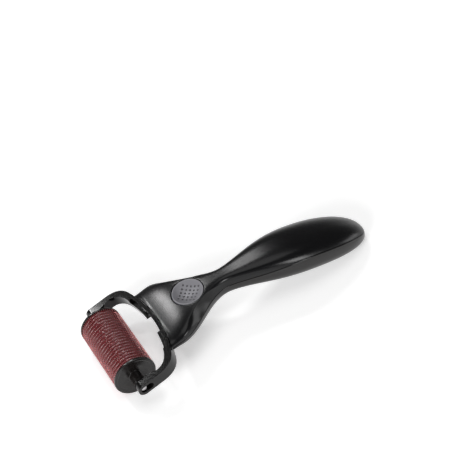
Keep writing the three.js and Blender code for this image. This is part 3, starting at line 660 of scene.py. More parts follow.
class HandleForm:
    """The handle's outline, centre line and sections, from the handle's sizes."""

    def __init__(self, sizes, head):
        self.s = sizes
        self.front_x = head.bar_reach * math.cos(HEAD_SLOPE)
        front_z = AXIS_Z + head.bar_reach * math.sin(HEAD_SLOPE)
        self.crest_z = front_z + sizes.crest_rise - 0.001 * MM
        bow, chord = head.bar_bow, head.bar_half_chord
        bar_radius = (chord ** 2 + bow ** 2) / (2 * bow)
        self.cut_centre = head.bar_reach - bar_radius
        self.cut_radius = bar_radius + sizes.gap
        xs = np.linspace(sizes.palm_x + MM, TAIL_X, 300)
        self.tail_drop = min((self.crest_z - self.half_depth(x)) / self.tail_share(x) for x in xs)

    def tail_fade(self, x):
        tip = TAIL_X + TIP_MARGIN
        along = (x - self.s.palm_x) / (tip - self.s.palm_x)
        return (1 - min(along, 1.0) ** TAIL_POWER) ** (1 / TAIL_POWER)

    def tail_share(self, x):
        return ((x - self.s.crest_x) / (TAIL_X + TIP_MARGIN - self.s.crest_x)) ** 2

    def half_width(self, x):
        s = self.s
        if x < s.neck_x:
            return mix(s.flare_half_width, s.neck_half_width,
                       ease((x - s.shoulder_x) / (s.neck_x - s.shoulder_x)))
        if x < s.palm_x:
            return mix(s.neck_half_width, s.palm_half_width,
                       ease(((x - s.neck_x) / (s.palm_x - s.neck_x)) ** SWELL_POWER))
        return s.palm_half_width * self.tail_fade(x)

    def half_depth(self, x):
        s = self.s
        if x < s.thumb_x:
            along = min(max((x - self.front_x) / (s.thumb_x - self.front_x), 0.0), 1.0)
            return mix(s.front_half_depth, s.thumb_half_depth, math.sin(along * math.pi / 2))
        if x < s.neck_x:
            return mix(s.thumb_half_depth, s.neck_half_depth,
                       ease((x - s.thumb_x) / (s.neck_x - s.thumb_x)))
        if x < s.palm_x:
            return mix(s.neck_half_depth, s.palm_half_depth,
                       ease((x - s.neck_x) / (s.palm_x - s.neck_x)))
        return s.palm_half_depth * self.tail_fade(x)

    def spine(self, x):
        s = self.s
        if x < s.crest_x:
            return self.crest_z - s.crest_rise * (
                (s.crest_x - x) / (s.crest_x - self.front_x)) ** 2
        return self.crest_z - self.tail_drop * self.tail_share(x)

    def top(self, x):
        return self.spine(x) + self.half_depth(x)

    def parting_share(self, x):
        s = self.s
        return PARTING_SHARE * ease((x - s.neck_x) / (s.palm_x - s.neck_x))

    def crease_share(self, x):
        """Height of the crease along the side, as a share of the half depth."""
        falling = ease((x - CREASE_FALL_X) / CREASE_FALL_RUN)
        dipping = CREASE_DIP_SHARE * ease((CREASE_DIP_X - x) / CREASE_DIP_RUN)
        share = mix(CREASE_TOP_SHARE, CREASE_LOW_SHARE, falling) - dipping
        return max(share, self.parting_share(x) + CREASE_MARGIN)

    def crease_strength(self, x):
        """1 where the flank under the crease is hollow, 0 where it is plainly round."""
        room = (self.crease_share(x) - self.parting_share(x) - CREASE_MARGIN) / CREASE_FADE
        return ease((x - HOLLOW_START_X) / HOLLOW_RUN) * ease(room)

    def power(self, x):
        """How square the section is: squarish as far as the neck, rounder at the palm."""
        s = self.s
        return mix(FLARE_SECTION_POWER, PALM_SECTION_POWER,
                   ease((x - s.neck_x) / (s.palm_x - s.neck_x)))

    def across(self, x, share):
        """Half width at a height in the section at x, both as shares."""
        power = self.power(x)
        return max(1 - abs(share) ** power, 0.0) ** (1 / power)

    def front_cut(self, y, z):
        """Where the head's bar ends the handle, as a distance from the drum's axis."""
        u = self.cut_centre + math.sqrt(max(self.cut_radius ** 2 - y ** 2, 0.0))
        return u / math.cos(HEAD_SLOPE) - math.tan(HEAD_SLOPE) * (z - AXIS_Z)


CROWN_STEPS = 22
FLANK_STEPS = 8
CORNER_STEPS = 3


def top_section(form, x):
    """Half of the top shell's outer line at x, from the crown's middle to its lower edge."""
    w, h, s = form.half_width(x), form.half_depth(x), form.spine(x)
    power = form.power(x)
    low = form.parting_share(x) * h + form.s.gap / 2
    crease = max(form.crease_share(x), low / h + CREASE_MARGIN)
    strength = form.crease_strength(x)
    crease_y, crease_z = w * form.across(x, crease), crease * h
    edge_share = min(low / h, 0.97)
    edge_y = w * form.across(x, edge_share)
    crown = []
    start = math.pi / 2
    end = math.atan2(crease ** (power / 2), form.across(x, crease) ** (power / 2))
    for k in range(CROWN_STEPS + 1):
        angle = mix(start, end, (k / CROWN_STEPS) ** 0.9)
        crown.append((w * max(math.cos(angle), 0.0) ** (2 / power),
                      h * math.sin(angle) ** (2 / power)))
    crown[0] = (0.0, h)
    crown[-1] = (crease_y, crease_z)
    last = math.atan2(edge_share ** (power / 2), form.across(x, edge_share) ** (power / 2))
    control = (mix(crease_y, edge_y, 0.5 - 0.45 * form.s.scoop),
               mix(crease_z, low, 0.5 + 0.35 * form.s.scoop))
    hollow = curve_through((crease_y, crease_z), control, (edge_y, low), FLANK_STEPS)
    flank = []
    for k in range(1, FLANK_STEPS + 1):
        angle = mix(end, last, k / FLANK_STEPS)
        plain = (w * math.cos(angle) ** (2 / power), h * math.sin(angle) ** (2 / power))
        flank.append((mix(plain[0], hollow[k][0], strength),
                      mix(plain[1], hollow[k][1], strength)))
    line = crown[:-1]
    line += round_corner(crown[-2], crown[-1], flank[0], form.s.crease_radius)
    line += flank[:-1]
    under = (edge_y - 4 * form.s.edge_radius, low)
    line += round_corner(flank[-2], (edge_y, low), under, form.s.edge_radius)
    return [(y, s + z) for y, z in line], s + low


def round_corner(before, corner, after, radius):
    """A few points that round one corner of a line."""
    before, corner, after = Vector(before), Vector(corner), Vector(after)
    reach_in = min(radius, (corner - before).length * 0.45)
    reach_out = min(radius, (after - corner).length * 0.45)
    start = corner + (before - corner).normalized() * reach_in
    end = corner + (after - corner).normalized() * reach_out
    return [tuple(start * (1 - t) ** 2 + corner * 2 * t * (1 - t) + end * t ** 2)
            for t in (k / CORNER_STEPS for k in range(CORNER_STEPS + 1))]


def bottom_section(form, x):
    """Half of the bottom shell's outer line at x, from the keel's middle to its upper edge."""
    w, h, s = form.half_width(x), form.half_depth(x), form.spine(x)
    high = form.parting_share(x) * h - form.s.gap / 2
    power = form.power(x)
    share = high / h
    edge_y = w * form.across(x, share)
    last = math.atan2(math.copysign(abs(share) ** (power / 2), share),
                      form.across(x, share) ** (power / 2))
    line = []
    steps = CROWN_STEPS + FLANK_STEPS
    for k in range(steps):
        angle = mix(-math.pi / 2, last, k / steps)
        sine = math.sin(angle)
        line.append((w * max(math.cos(angle), 0.0) ** (2 / power),
                     h * math.copysign(abs(sine) ** (2 / power), sine)))
    line[0] = (0.0, -h)
    inside = (edge_y - 4 * form.s.edge_radius, high)
    line += round_corner(line[-1], (edge_y, high), inside, form.s.edge_radius)
    return [(y, s + z) for y, z in line], s + high


def shell_ring(form, x, section, sign, hollow):
    """A closed ring at x: the outer line from the near edge to the far one, then back inside."""
    half, level = section(form, x)
    outer = [(-y, z) for y, z in half[:0:-1]] + list(half)
    wall = form.s.wall
    limit = abs(outer[0][0]) * 0.995
    inside = []
    if hollow:
        w, h = form.half_width(x) - wall, form.half_depth(x) - wall
        s = form.spine(x)
        limit = w * form.across(x, (level - s) / h)
    for y, _ in outer:
        reach = math.copysign(min(abs(y), limit), y)
        height = level
        if hollow:
            height = s + sign * h * form.across(x, min(abs(reach) / w, 1.0))
            height = max(height, level) if sign > 0 else min(height, level)
        inside.append((reach, height))
    return outer, inside[::-1]


def handle_shell(name, form, section, sign):
    """A shell of the handle: trimmed to the head's bar in front and closed at the tail."""
    s = form.s
    front_rounding = [(0.0, 1.0), (0.12, 0.45), (0.4, 0.12), (1.0, 0.0)]
    rings = []

    def ring_at(x, hollow):
        outer, inside = shell_ring(form, x, section, sign, hollow)
        return outer + inside

    # From the front cut to where the cavity starts.
    start_x = form.front_x
    guess = ring_at(start_x, False)
    columns = len(guess)
    fronts = [form.front_cut(y, z) for y, z in guess]
    for _ in range(6):
        sections = [ring_at(x, False)[j] for j, x in enumerate(fronts)]
        fronts = [form.front_cut(y, z) for y, z in sections]
    radius = s.edge_radius
    for ahead, inward in front_rounding:
        ring = []
        for j, front in enumerate(fronts):
            x = front + ahead * radius
            y, z = ring_at(x, False)[j]
            middle = form.spine(x) + sign * form.half_depth(x) * 0.4
            shrink_y = 1 - inward * radius / form.half_width(x)
            shrink_z = 1 - inward * radius / (form.half_depth(x) * 0.5)
            ring.append((x, y * shrink_y, middle + (z - middle) * shrink_z))
        rings.append(ring)
    for k in range(1, FRONT_STEPS + 1):
        ring = []
        for j, front in enumerate(fronts):
            x = mix(front + radius, CAVITY_FRONT_X, k / FRONT_STEPS)
            y, z = ring_at(x, False)[j]
            ring.append((x, y, z))
        rings.append(ring)
    # The hollow stretch, then the solid tail, with stations crowding to the tip.
    cavity_end = tail_cavity_end(form)
    xs = list(np.linspace(CAVITY_FRONT_X + RING_GAP, s.palm_x, BODY_STATIONS))
    for k in range(1, TAIL_STATIONS + 1):
        xs.append(mix(s.palm_x, TAIL_X, math.sin(k / TAIL_STATIONS * math.pi / 2)))
    xs = sorted(xs + [cavity_end, cavity_end + RING_GAP])
    for x in xs:
        ring = ring_at(x, x <= cavity_end)
        rings.append([(x, y, z) for y, z in ring])
    points = [(x + AXIS_X, y, z) for ring in rings for x, y, z in ring]
    faces = tube_faces(len(rings), columns)
    for base in (0, (len(rings) - 1) * columns):
        for j in range(columns // 2 - 1):
            faces.append((base + j, base + j + 1, base + columns - 2 - j, base + columns - 1 - j))
    return solid(name, points, faces)


def tail_cavity_end(form):
    """The last station where the section leaves room inside the walls."""
    xs = np.linspace(form.s.palm_x, TAIL_X, 400)
    roomy = [x for x in xs if min(form.half_width(x), form.half_depth(x)) > 2 * form.s.wall]
    return float(roomy[-1])


def button_frame(form, button):
    """The button's own frame, with its origin on the crown and Z along its axis."""
    x = button.station_x
    return (Matrix.Translation((x + AXIS_X, 0, form.top(x)))
            @ Matrix.Rotation(-BUTTON_TILT, 4, "Y"))


def well_cutter(form, button, slide, depth, rim):
    """The button's bore, with a rounded mouth that follows the crown round it."""
    frame_of = button_frame(form, button)
    inverse = frame_of.inverted()
    radius, sides = button.radius + slide, 72
    rounding = [(1.0, None), (1.0, 0.0), (0.55, 0.12), (0.2, 0.42), (0.0, 1.0)]
    points = []
    for k in range(sides):
        angle = 2 * math.pi * k / sides
        for out, drop in rounding:
            reach = radius + out * rim
            x, y = reach * math.cos(angle), reach * math.sin(angle)
            row = frame_of @ Vector((x, y, 0))
            station, across = row.x - AXIS_X, row.y
            share = min(abs(across) / form.half_width(station), 0.999)
            crown = form.spine(station) + form.half_depth(station) * form.across(station, share)
            height = (inverse @ Vector((row.x, row.y, crown))).z
            points.append((x, y, 6 * MM if drop is None else height + 0.01 * MM - drop * rim))
        points.append((radius * math.cos(angle), radius * math.sin(angle), -depth))
    columns = len(rounding) + 1
    faces = []
    for k in range(sides):
        following = (k + 1) % sides
        for j in range(columns - 1):
            faces.append((k * columns + j, following * columns + j,
                          following * columns + j + 1, k * columns + j + 1))
    faces.append(tuple(k * columns for k in range(sides)))
    faces.append(tuple(k * columns + columns - 1 for k in range(sides))[::-1])
    return place(solid("well_cutter", points, faces), frame_of)


def upright_post(name, radius, low, high, frame_of, sides=64):
    outline = arc((0, 0), radius, 0, 2 * math.pi * (1 - 1 / sides), sides - 1)
    return place(prism(name, outline, low, high), frame_of)


def tongue_cutter(head, gap):
    """The slot in the handle's front that the tongue slides in."""
    half_width, half = head.tongue_width / 2 + gap, head.tongue_thickness / 2 + gap
    low = head.bar_reach - head.bar_bow
    return place(box("tongue_cutter", (low, -half_width, -half),
                     (head.bar_reach + head.tongue_length + gap, half_width, half)),
                 in_head_frame())


# ---- Operators ------------------------------------------------------------------

class RollerOperator(bpy.types.Operator):
    bl_options = {"REGISTER", "UNDO"}


class BuildHandleTop(RollerOperator):
    """Builds the handle's top shell with its creases, button well and tongue slot"""
    bl_idname = "roller.build_handle_top"
    bl_label = "Handle Top Shell"

    def execute(self, context):
        scene = context.scene
        button, head = scene.roller_button, scene.roller_head
        form = HandleForm(scene.roller_handle, head)
        shell = handle_shell("handle_top", form, top_section, 1)
        depth = button.recess + button.rim_depth + SPRING_ROOM
        frame_of = button_frame(form, button)
        cup = upright_post("cup", button.radius + SLIDE + WELL_WALL, -depth - WELL_WALL,
                           CUP_TOP, frame_of)
        carve(shell, "UNION", cup)
        stem = upright_post("stem_hole", button.stem_radius + SLIDE, -depth - 3 * MM, -2 * MM,
                            frame_of, STEM_SIDES)
        carve(shell, "DIFFERENCE", well_cutter(form, button, SLIDE, depth, WELL_ROUNDING), stem,
              tongue_cutter(head, scene.roller_handle.gap))
        finish_piece(shell, "handle", finish_of("satin_black"),
                     ["handle_top_shell"])
        return {"FINISHED"}


class BuildHandleBottom(RollerOperator):
    """Builds the handle's bottom shell"""
    bl_idname = "roller.build_handle_bottom"
    bl_label = "Handle Bottom Shell"

    def execute(self, context):
        scene = context.scene
        form = HandleForm(scene.roller_handle, scene.roller_head)
        shell = handle_shell("handle_bottom", form, bottom_section, -1)
        carve(shell, "DIFFERENCE", tongue_cutter(scene.roller_head, scene.roller_handle.gap))
        finish_piece(shell, "handle", finish_of("gloss_black"),
                     ["handle_bottom_shell"])
        return {"FINISHED"}


class BuildButton(RollerOperator):
    """Builds the dished thumb button and its diamond of grip dimples"""
    bl_idname = "roller.build_button"
    bl_label = "Thumb Button"

    def execute(self, context):
        scene = context.scene
        sizes = scene.roller_button
        form = HandleForm(scene.roller_handle, scene.roller_head)
        rim, under = -sizes.recess, -sizes.recess - sizes.rim_depth
        lean = abs(math.sin(BUTTON_TILT)) * sizes.stem_radius
        height = form.top(sizes.station_x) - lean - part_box("release_button")[0].z
        foot = -height / math.cos(BUTTON_TILT)
        outside = rounded([(0, foot), (sizes.stem_radius, foot), (sizes.stem_radius, under),
                           (sizes.radius, under), (sizes.radius, rim),
                           (sizes.dish_radius, rim)], 0.3 * MM)
        steps = 20
        for k in range(1, steps + 1):
            radius = sizes.dish_radius * (1 - k / steps)
            share = (radius / sizes.dish_radius) ** DISH_POWER
            outside.append((radius, rim - sizes.dish_depth * (1 - share)))
        button = turned("thumb_button", outside, 96)
        button.data.transform(Matrix.Rotation(math.radians(90), 4, "X"))
        self.add_dimples(button, sizes, rim)
        place(button, button_frame(form, sizes))
        finish_piece(button, "button", finish_of("button_grey"),
                     ["release_button"])
        return {"FINISHED"}

    def add_dimples(self, button, sizes, rim):
        """Small round pits in a diamond pattern, cut by a node tree."""
        tree = bpy.data.node_groups.new("grip_dimples", "GeometryNodeTree")
        face = tree.interface
        face.new_socket(name="Geometry", in_out="INPUT", socket_type="NodeSocketGeometry")
        for title, kind in (("Rows", "NodeSocketInt"), ("Pitch", "NodeSocketFloat"),
                            ("Radius", "NodeSocketFloat"), ("Dish Radius", "NodeSocketFloat"),
                            ("Dish Depth", "NodeSocketFloat"),
                            ("Bottom", "NodeSocketFloat"), ("Apex", "NodeSocketFloat"),
                            ("Material", "NodeSocketMaterial")):
            face.new_socket(name=title, in_out="INPUT", socket_type=kind)
        face.new_socket(name="Geometry", in_out="OUTPUT", socket_type="NodeSocketGeometry")
        given, made = tree.nodes.new("NodeGroupInput"), tree.nodes.new("NodeGroupOutput")
        link = tree.links.new

        grid = add_node(tree, "GeometryNodeMeshGrid")
        width = maths(tree, "MULTIPLY", given.outputs["Pitch"],
                      maths(tree, "SUBTRACT", given.outputs["Rows"], 1.0))
        for title in ("Size X", "Size Y"):
            link(width, grid.inputs[title])
        for title in ("Vertices X", "Vertices Y"):
            link(given.outputs["Rows"], grid.inputs[title])
        turn = add_node(tree, "GeometryNodeTransform")
        turn.inputs["Rotation"].default_value = (0, 0, math.radians(45))
        link(grid.outputs["Mesh"], turn.inputs["Geometry"])
        # The diamond's foremost point lies at the apex, and every point on the dish.
        shift = add_node(tree, "ShaderNodeCombineXYZ")
        half_diagonal = maths(tree, "MULTIPLY", width, math.sqrt(0.5))
        link(maths(tree, "SUBTRACT", given.outputs["Apex"], half_diagonal), shift.inputs[0])
        link(shift.outputs[0], turn.inputs["Translation"])
        where = add_node(tree, "GeometryNodeInputPosition")
        parts = add_node(tree, "ShaderNodeSeparateXYZ")
        link(where.outputs[0], parts.inputs[0])
        flat = maths(tree, "ADD", maths(tree, "MULTIPLY", parts.outputs[0], parts.outputs[0]),
                     maths(tree, "MULTIPLY", parts.outputs[1], parts.outputs[1]))
        share = maths(tree, "DIVIDE", maths(tree, "SQRT", flat, 0.0),
                      given.outputs["Dish Radius"])
        rise = maths(tree, "MULTIPLY", given.outputs["Dish Depth"],
                     maths(tree, "POWER", share, DISH_POWER))
        lift = add_node(tree, "ShaderNodeCombineXYZ")
        link(maths(tree, "ADD", maths(tree, "ADD", given.outputs["Bottom"], rise),
                   maths(tree, "MULTIPLY", given.outputs["Radius"], 0.12)), lift.inputs[2])
        settle = add_node(tree, "GeometryNodeSetPosition")
        link(turn.outputs["Geometry"], settle.inputs["Geometry"])
        link(lift.outputs[0], settle.inputs["Offset"])
        ball = add_node(tree, "GeometryNodeMeshIcoSphere")
        ball.inputs["Subdivisions"].default_value = 3
        link(given.outputs["Radius"], ball.inputs["Radius"])
        spread = add_node(tree, "GeometryNodeInstanceOnPoints")
        link(settle.outputs["Geometry"], spread.inputs["Points"])
        link(ball.outputs["Mesh"], spread.inputs["Instance"])
        real = add_node(tree, "GeometryNodeRealizeInstances")
        link(spread.outputs["Instances"], real.inputs["Geometry"])
        cut = add_node(tree, "GeometryNodeMeshBoolean", operation="DIFFERENCE", solver="EXACT")
        link(given.outputs["Geometry"], cut.inputs["Mesh 1"])
        link(real.outputs["Geometry"], cut.inputs["Mesh 2"])
        whole = add_node(tree, "GeometryNodeRealizeInstances")
        link(cut.outputs["Mesh"], whole.inputs["Geometry"])
        painted = add_node(tree, "GeometryNodeSetMaterial")
        link(whole.outputs["Geometry"], painted.inputs["Geometry"])
        link(given.outputs["Material"], painted.inputs["Material"])
        link(painted.outputs["Geometry"], made.inputs["Geometry"])
        run_tree(button, tree, {
            "Rows": sizes.dimple_rows, "Pitch": sizes.dimple_pitch,
            "Radius": sizes.dimple_radius, "Dish Radius": sizes.dish_radius,
            "Dish Depth": sizes.dish_depth,
            "Bottom": rim - sizes.dish_depth, "Apex": sizes.dish_radius - 1.4 * MM,
            "Material": finish_of("button_grey")})


def run_tree(piece, tree, values):
    """Runs a node tree on a piece with the given inputs and keeps the plain mesh."""
    change = piece.modifiers.new(tree.name, "NODES")
    change.node_group = tree
    sockets = {item.name: item.identifier for item in tree.interface.items_tree
               if item.item_type == "SOCKET" and item.in_out == "INPUT"}
    for title, value in values.items():
        change[sockets[title]] = value
    return as_plain_mesh(piece)


class BuildHead(RollerOperator):
    """Builds the U-shaped head with its ledge, slotted eyes and tongue"""
    bl_idname = "roller.build_head"
    bl_label = "Head"

    def execute(self, context):
        h = context.scene.roller_head
        half = h.height / 2
        body = prism("head_frame", self.plan(h), -half, half)
        sides = side_prism("arm_sides", self.arm_side(h), HEAD_HALF_WIDTH + OVERRUN)
        carve(body, "INTERSECT", sides)
        slot_radius = AXLE_RADIUS + SLIDE
        slot = (arc((0, 0), slot_radius, math.pi / 2, 3 * math.pi / 2, 20)
                + arc((h.slot_travel, 0), slot_radius, -math.pi / 2, math.pi / 2, 20))
        cutters = [side_prism("eye_slot", slot, HEAD_HALF_WIDTH + OVERRUN)]
        cutters += self.ledge_cutters(h, half)
        carve(body, "DIFFERENCE", *cutters)
        soften_edges(body, h.bevel)
        tongue_half = h.tongue_thickness / 2
        end = h.bar_reach + h.tongue_length
        tongue = box("tongue", (h.bar_reach - 1.2 * MM, -h.tongue_width / 2, -tongue_half),
                     (end, h.tongue_width / 2, tongue_half))
        window_end = end - h.window_lip
        carve(tongue, "DIFFERENCE", box(
            "window", (window_end - h.window, -h.window_width / 2, -half),
            (window_end, h.window_width / 2, half)))
        soften_edges(tongue, 0.2 * MM)
        carve(body, "UNION", tongue)
        place(body, in_head_frame())
        finish_piece(body, "head", finish_of("head_black"), ["head_yoke"])
        return {"FINISHED"}

    def plan(self, h):
        """The U seen from above."""
        outer, half = HEAD_HALF_WIDTH, h.height / 2
        eye = -half - OVERRUN
        bar_radius = (h.bar_half_chord ** 2 + h.bar_bow ** 2) / (2 * h.bar_bow)
        centre = h.bar_reach - bar_radius
        chord_u = h.bar_reach - h.bar_bow
        tangent = h.bar_half_chord / (bar_radius - h.bar_bow)
        corner_u = chord_u - tangent * (outer - h.bar_half_chord)
        in_radius, in_half = bar_radius - h.bar_depth, h.bar_half_chord - h.bar_depth
        in_u = centre + math.sqrt(in_radius ** 2 - in_half ** 2)
        arm_in = outer - h.root_thickness
        in_corner = in_u - (in_half / in_radius) * (arm_in - in_half)
        out_angle = math.asin(h.bar_half_chord / bar_radius)
        in_angle = math.asin(in_half / in_radius)
        eye_in = outer - h.eye_thickness
        points = [(eye, -outer)]
        points += curve_through((h.root_u, -outer), (corner_u, -outer),
                                (chord_u, -h.bar_half_chord), 16)
        points += arc((centre, 0), bar_radius, -out_angle, out_angle, 48)[1:-1]
        points += curve_through((chord_u, h.bar_half_chord), (corner_u, outer),
                                (h.root_u, outer), 16)
        points += [(eye, outer), (eye, eye_in), (half, eye_in)]
        points += curve_through((h.root_u, arm_in), (in_corner, arm_in), (in_u, in_half), 14)
        points += arc((centre, 0), in_radius, in_angle, -in_angle, 48)[1:-1]
        points += curve_through((in_u, -in_half), (in_corner, -arm_in),
                                (h.root_u, -arm_in), 14)
        points += [(half, -eye_in), (eye, -eye_in)]
        return points

    def arm_side(self, h):
        """A bar with one round end, seen from the side."""
        half, back = h.height / 2, h.bar_reach + h.bar_bow
        round_end = arc((0, 0), half, math.pi / 2, 3 * math.pi / 2, 28)
        return [(back, half)] + round_end + [(back, -half)]

    def ledge_cutters(self, h, half):
        """What lowers the inner ledge and parts it in the middle."""
        bar_radius = (h.bar_half_chord ** 2 + h.bar_bow ** 2) / (2 * h.bar_bow)
        centre = h.bar_reach - bar_radius
        radius = bar_radius - h.bar_wall
        front = h.bar_reach - h.bar_bow - 2 * h.bar_depth
        cutters = []
        for name, half_width, low in (("over_ledge", h.ledge_half_length, half - h.ledge_drop),
                                      ("notch", h.ledge_notch / 2, -2 * half)):
            angle = math.asin(half_width / radius)
            outline = [(front, -half_width)] + arc((centre, 0), radius, -angle, angle, 40)
            outline += [(front, half_width)]
            cutters.append(prism(name, outline, low, 2 * half))
        return cutters


class BuildDrum(RollerOperator):
    """Builds the rows of needles and the spacer rings between them"""
    bl_idname = "roller.build_drum"
    bl_label = "Needles and Spacers"

    def execute(self, context):
        sizes = context.scene.roller_drum
        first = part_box(DISC_NODES[0])[0].y + DISC_THICKNESS / 2
        needles = self.repeat_along_axis(
            "needle_rows", self.needle_disc(sizes), len(DISC_NODES), first, sizes.needles,
            finish_of("needle_steel"))
        finish_piece(needles, "drum", finish_of("needle_steel"), DISC_NODES)
        rings = self.repeat_along_axis(
            "spacer_rings", self.spacer(sizes), len(SPACER_NODES), first + DISC_PITCH / 2,
            sizes.needles, finish_of("spacer_red"))
        finish_piece(rings, "drum", finish_of("spacer_red"), SPACER_NODES)
        return {"FINISHED"}

    def needle_disc(self, sizes):
        """A thin disc whose rim is cut into pointed needles."""
        count, half = sizes.needles, DISC_THICKNESS / 2
        root = TIP_RADIUS - sizes.needle_reach
        half_step = sizes.needle_width / root / 2
        outline = []
        for k in range(count):
            angle = 2 * math.pi * k / count
            gap = math.pi / count
            outline += [(root, angle - gap), (root, angle - half_step), (TIP_RADIUS, angle),
                        (root, angle + half_step)]
        points, total = [], len(outline)
        for radius_of, y in (("bore", -half), ("rim", -half), ("rim", half), ("bore", half)):
            for radius, angle in outline:
                # Needle tips are ground thin.
                thin = y if radius < TIP_RADIUS else y * NEEDLE_TIP_SHARE
                reach = sizes.core_bore if radius_of == "bore" else radius
                points.append((reach * math.cos(angle), y if radius_of == "bore" else thin,
                               reach * math.sin(angle)))
        faces = tube_faces(4, total, closed_rows=True)
        return solid("needle_disc", points, faces, merge=0.0001 * MM)

    def spacer(self, sizes):
        """A ring with a crowned, wavy rim that shows between two rows of needles."""
        half, waves = SPACER_LENGTH / 2, sizes.needles
        across = [(-1.0, 0.55), (-0.86, 0.16), (-0.45, 0.0), (0.45, 0.0), (0.86, 0.16),
                  (1.0, 0.55)]
        steps = waves * 4
        points = []
        for k in range(steps):
            angle = 2 * math.pi * k / steps
            wave = 0.5 - 0.5 * math.cos(waves * angle)
            ring = [(sizes.core_bore, -half)]
            for place_y, drop in across:
                side = 1.8 * max(abs(place_y) - 0.45, 0.0)
                depth = sizes.teeth_depth * (drop * 1.6 + wave * side)
                ring.append((SPACER_RADIUS - depth, half * place_y))
            ring.append((sizes.core_bore, half))
            points += [(r * math.cos(angle), y, r * math.sin(angle)) for r, y in ring]
        return solid("spacer_ring", points, tube_faces(steps, len(across) + 2, True))

    def repeat_along_axis(self, name, unit, count, first, needles, material):
        """Copies of a unit along the axis, each turned by half a needle from the last."""
        tree = bpy.data.node_groups.new(name, "GeometryNodeTree")
        face = tree.interface
        face.new_socket(name="Geometry", in_out="INPUT", socket_type="NodeSocketGeometry")
        for title, kind in (("Count", "NodeSocketInt"), ("Pitch", "NodeSocketFloat"),
                            ("First", "NodeSocketFloat"), ("Half Turn", "NodeSocketFloat"),
                            ("Material", "NodeSocketMaterial")):
            face.new_socket(name=title, in_out="INPUT", socket_type=kind)
        face.new_socket(name="Geometry", in_out="OUTPUT", socket_type="NodeSocketGeometry")
        given, made = tree.nodes.new("NodeGroupInput"), tree.nodes.new("NodeGroupOutput")
        link = tree.links.new
        line = add_node(tree, "GeometryNodeMeshLine", mode="OFFSET")
        start, step = (add_node(tree, "ShaderNodeCombineXYZ") for _ in range(2))
        link(given.outputs["First"], start.inputs[1])
        link(given.outputs["Pitch"], step.inputs[1])
        link(given.outputs["Count"], line.inputs["Count"])
        link(start.outputs[0], line.inputs["Start Location"])
        link(step.outputs[0], line.inputs["Offset"])
        index = add_node(tree, "GeometryNodeInputIndex")
        turn = add_node(tree, "ShaderNodeCombineXYZ")
        link(maths(tree, "MULTIPLY", maths(tree, "MODULO", index.outputs[0], 2.0),
                   given.outputs["Half Turn"]), turn.inputs[1])
        spread = add_node(tree, "GeometryNodeInstanceOnPoints")
        link(line.outputs["Mesh"], spread.inputs["Points"])
        link(given.outputs["Geometry"], spread.inputs["Instance"])
        link(turn.outputs[0], spread.inputs["Rotation"])
        real = add_node(tree, "GeometryNodeRealizeInstances")
        link(spread.outputs["Instances"], real.inputs["Geometry"])
        painted = add_node(tree, "GeometryNodeSetMaterial")
        link(real.outputs["Geometry"], painted.inputs["Geometry"])
        link(given.outputs["Material"], painted.inputs["Material"])
        link(painted.outputs["Geometry"], made.inputs["Geometry"])
        unit.name = name
        run_tree(unit, tree, {"Count": count, "Pitch": DISC_PITCH, "First": first,
                              "Half Turn": math.pi / needles, "Material": material})
        return place(unit, in_drum_frame())


class BuildCaps(RollerOperator):
    """Builds the drum's two end caps"""
    bl_idname = "roller.build_caps"
    bl_label = "End Caps"

    def execute(self, context):
        sizes = context.scene.roller_drum
        for name, node, side in (("cap_left", "end_cap_left", -1),
                                 ("cap_right", "end_cap_right", 1)):
            outer = CAP_INNER_Y + sizes.cap_thickness
            hub = sizes.hub_radius
            lip = 0.35 * MM
            profile = [(sizes.axle_bore, CAP_INNER_Y), (CAP_RADIUS, CAP_INNER_Y),
                       (CAP_RADIUS, outer), (CAP_RADIUS - 1.3 * MM, outer),
                       (CAP_RADIUS - 1.3 * MM - lip, outer - lip / 2),
                       (sizes.cap_dish_radius + lip, outer - lip / 2),
                       (hub + 0.5 * MM, outer - sizes.cap_dish_depth),
                       (hub, outer - sizes.cap_dish_depth),
                       (hub, HUB_END_Y), (sizes.axle_bore, HUB_END_Y)]
            line = rounded(profile, 0.25 * MM) + [profile[0]]
            cap = turned(name, [(r, y) for r, y in line], 96)
            if side < 0:
                cap.data.transform(Matrix.Rotation(math.pi, 4, "Z"))
            place(cap, in_drum_frame())
            finish_piece(cap, "drum", finish_of("cap_black"), [node])
        return {"FINISHED"}


class BuildAxle(RollerOperator):
    """Builds the axle pin with its chamfered ends"""
    bl_idname = "roller.build_axle"
    bl_label = "Axle"

    def execute(self, context):
        chamfer = 0.3 * MM
        profile = [(0, -AXLE_HALF), (AXLE_RADIUS - chamfer, -AXLE_HALF),
                   (AXLE_RADIUS, -AXLE_HALF + chamfer), (AXLE_RADIUS, AXLE_HALF - chamfer),
                   (AXLE_RADIUS - chamfer, AXLE_HALF), (0, AXLE_HALF)]
        pin = place(turned("axle_pin", profile, 48), in_drum_frame())
        finish_piece(pin, "drum", finish_of("plain_steel"), ["axle"])
        return {"FINISHED"}


CARRIED_NODES = {
    "drum_core": "spacer_red",
    "button_spring": "plain_steel",
    "latch_leaf": "plain_steel",
    "latch_screw": "plain_steel",
}


class DressCarriedNodes(RollerOperator):
    """Gives the inner CAD nodes that stay as they are their finishes"""
    bl_idname = "roller.dress_carried_nodes"
    bl_label = "Inner Parts"

    def execute(self, context):
        for name, slot in CARRIED_NODES.items():
            node = frame["nodes"][name]
            if node.material_slots:
                for material_slot in node.material_slots:
                    material_slot.material = finish_of(slot)
            else:
                node.data.materials.append(finish_of(slot))
        return {"FINISHED"}


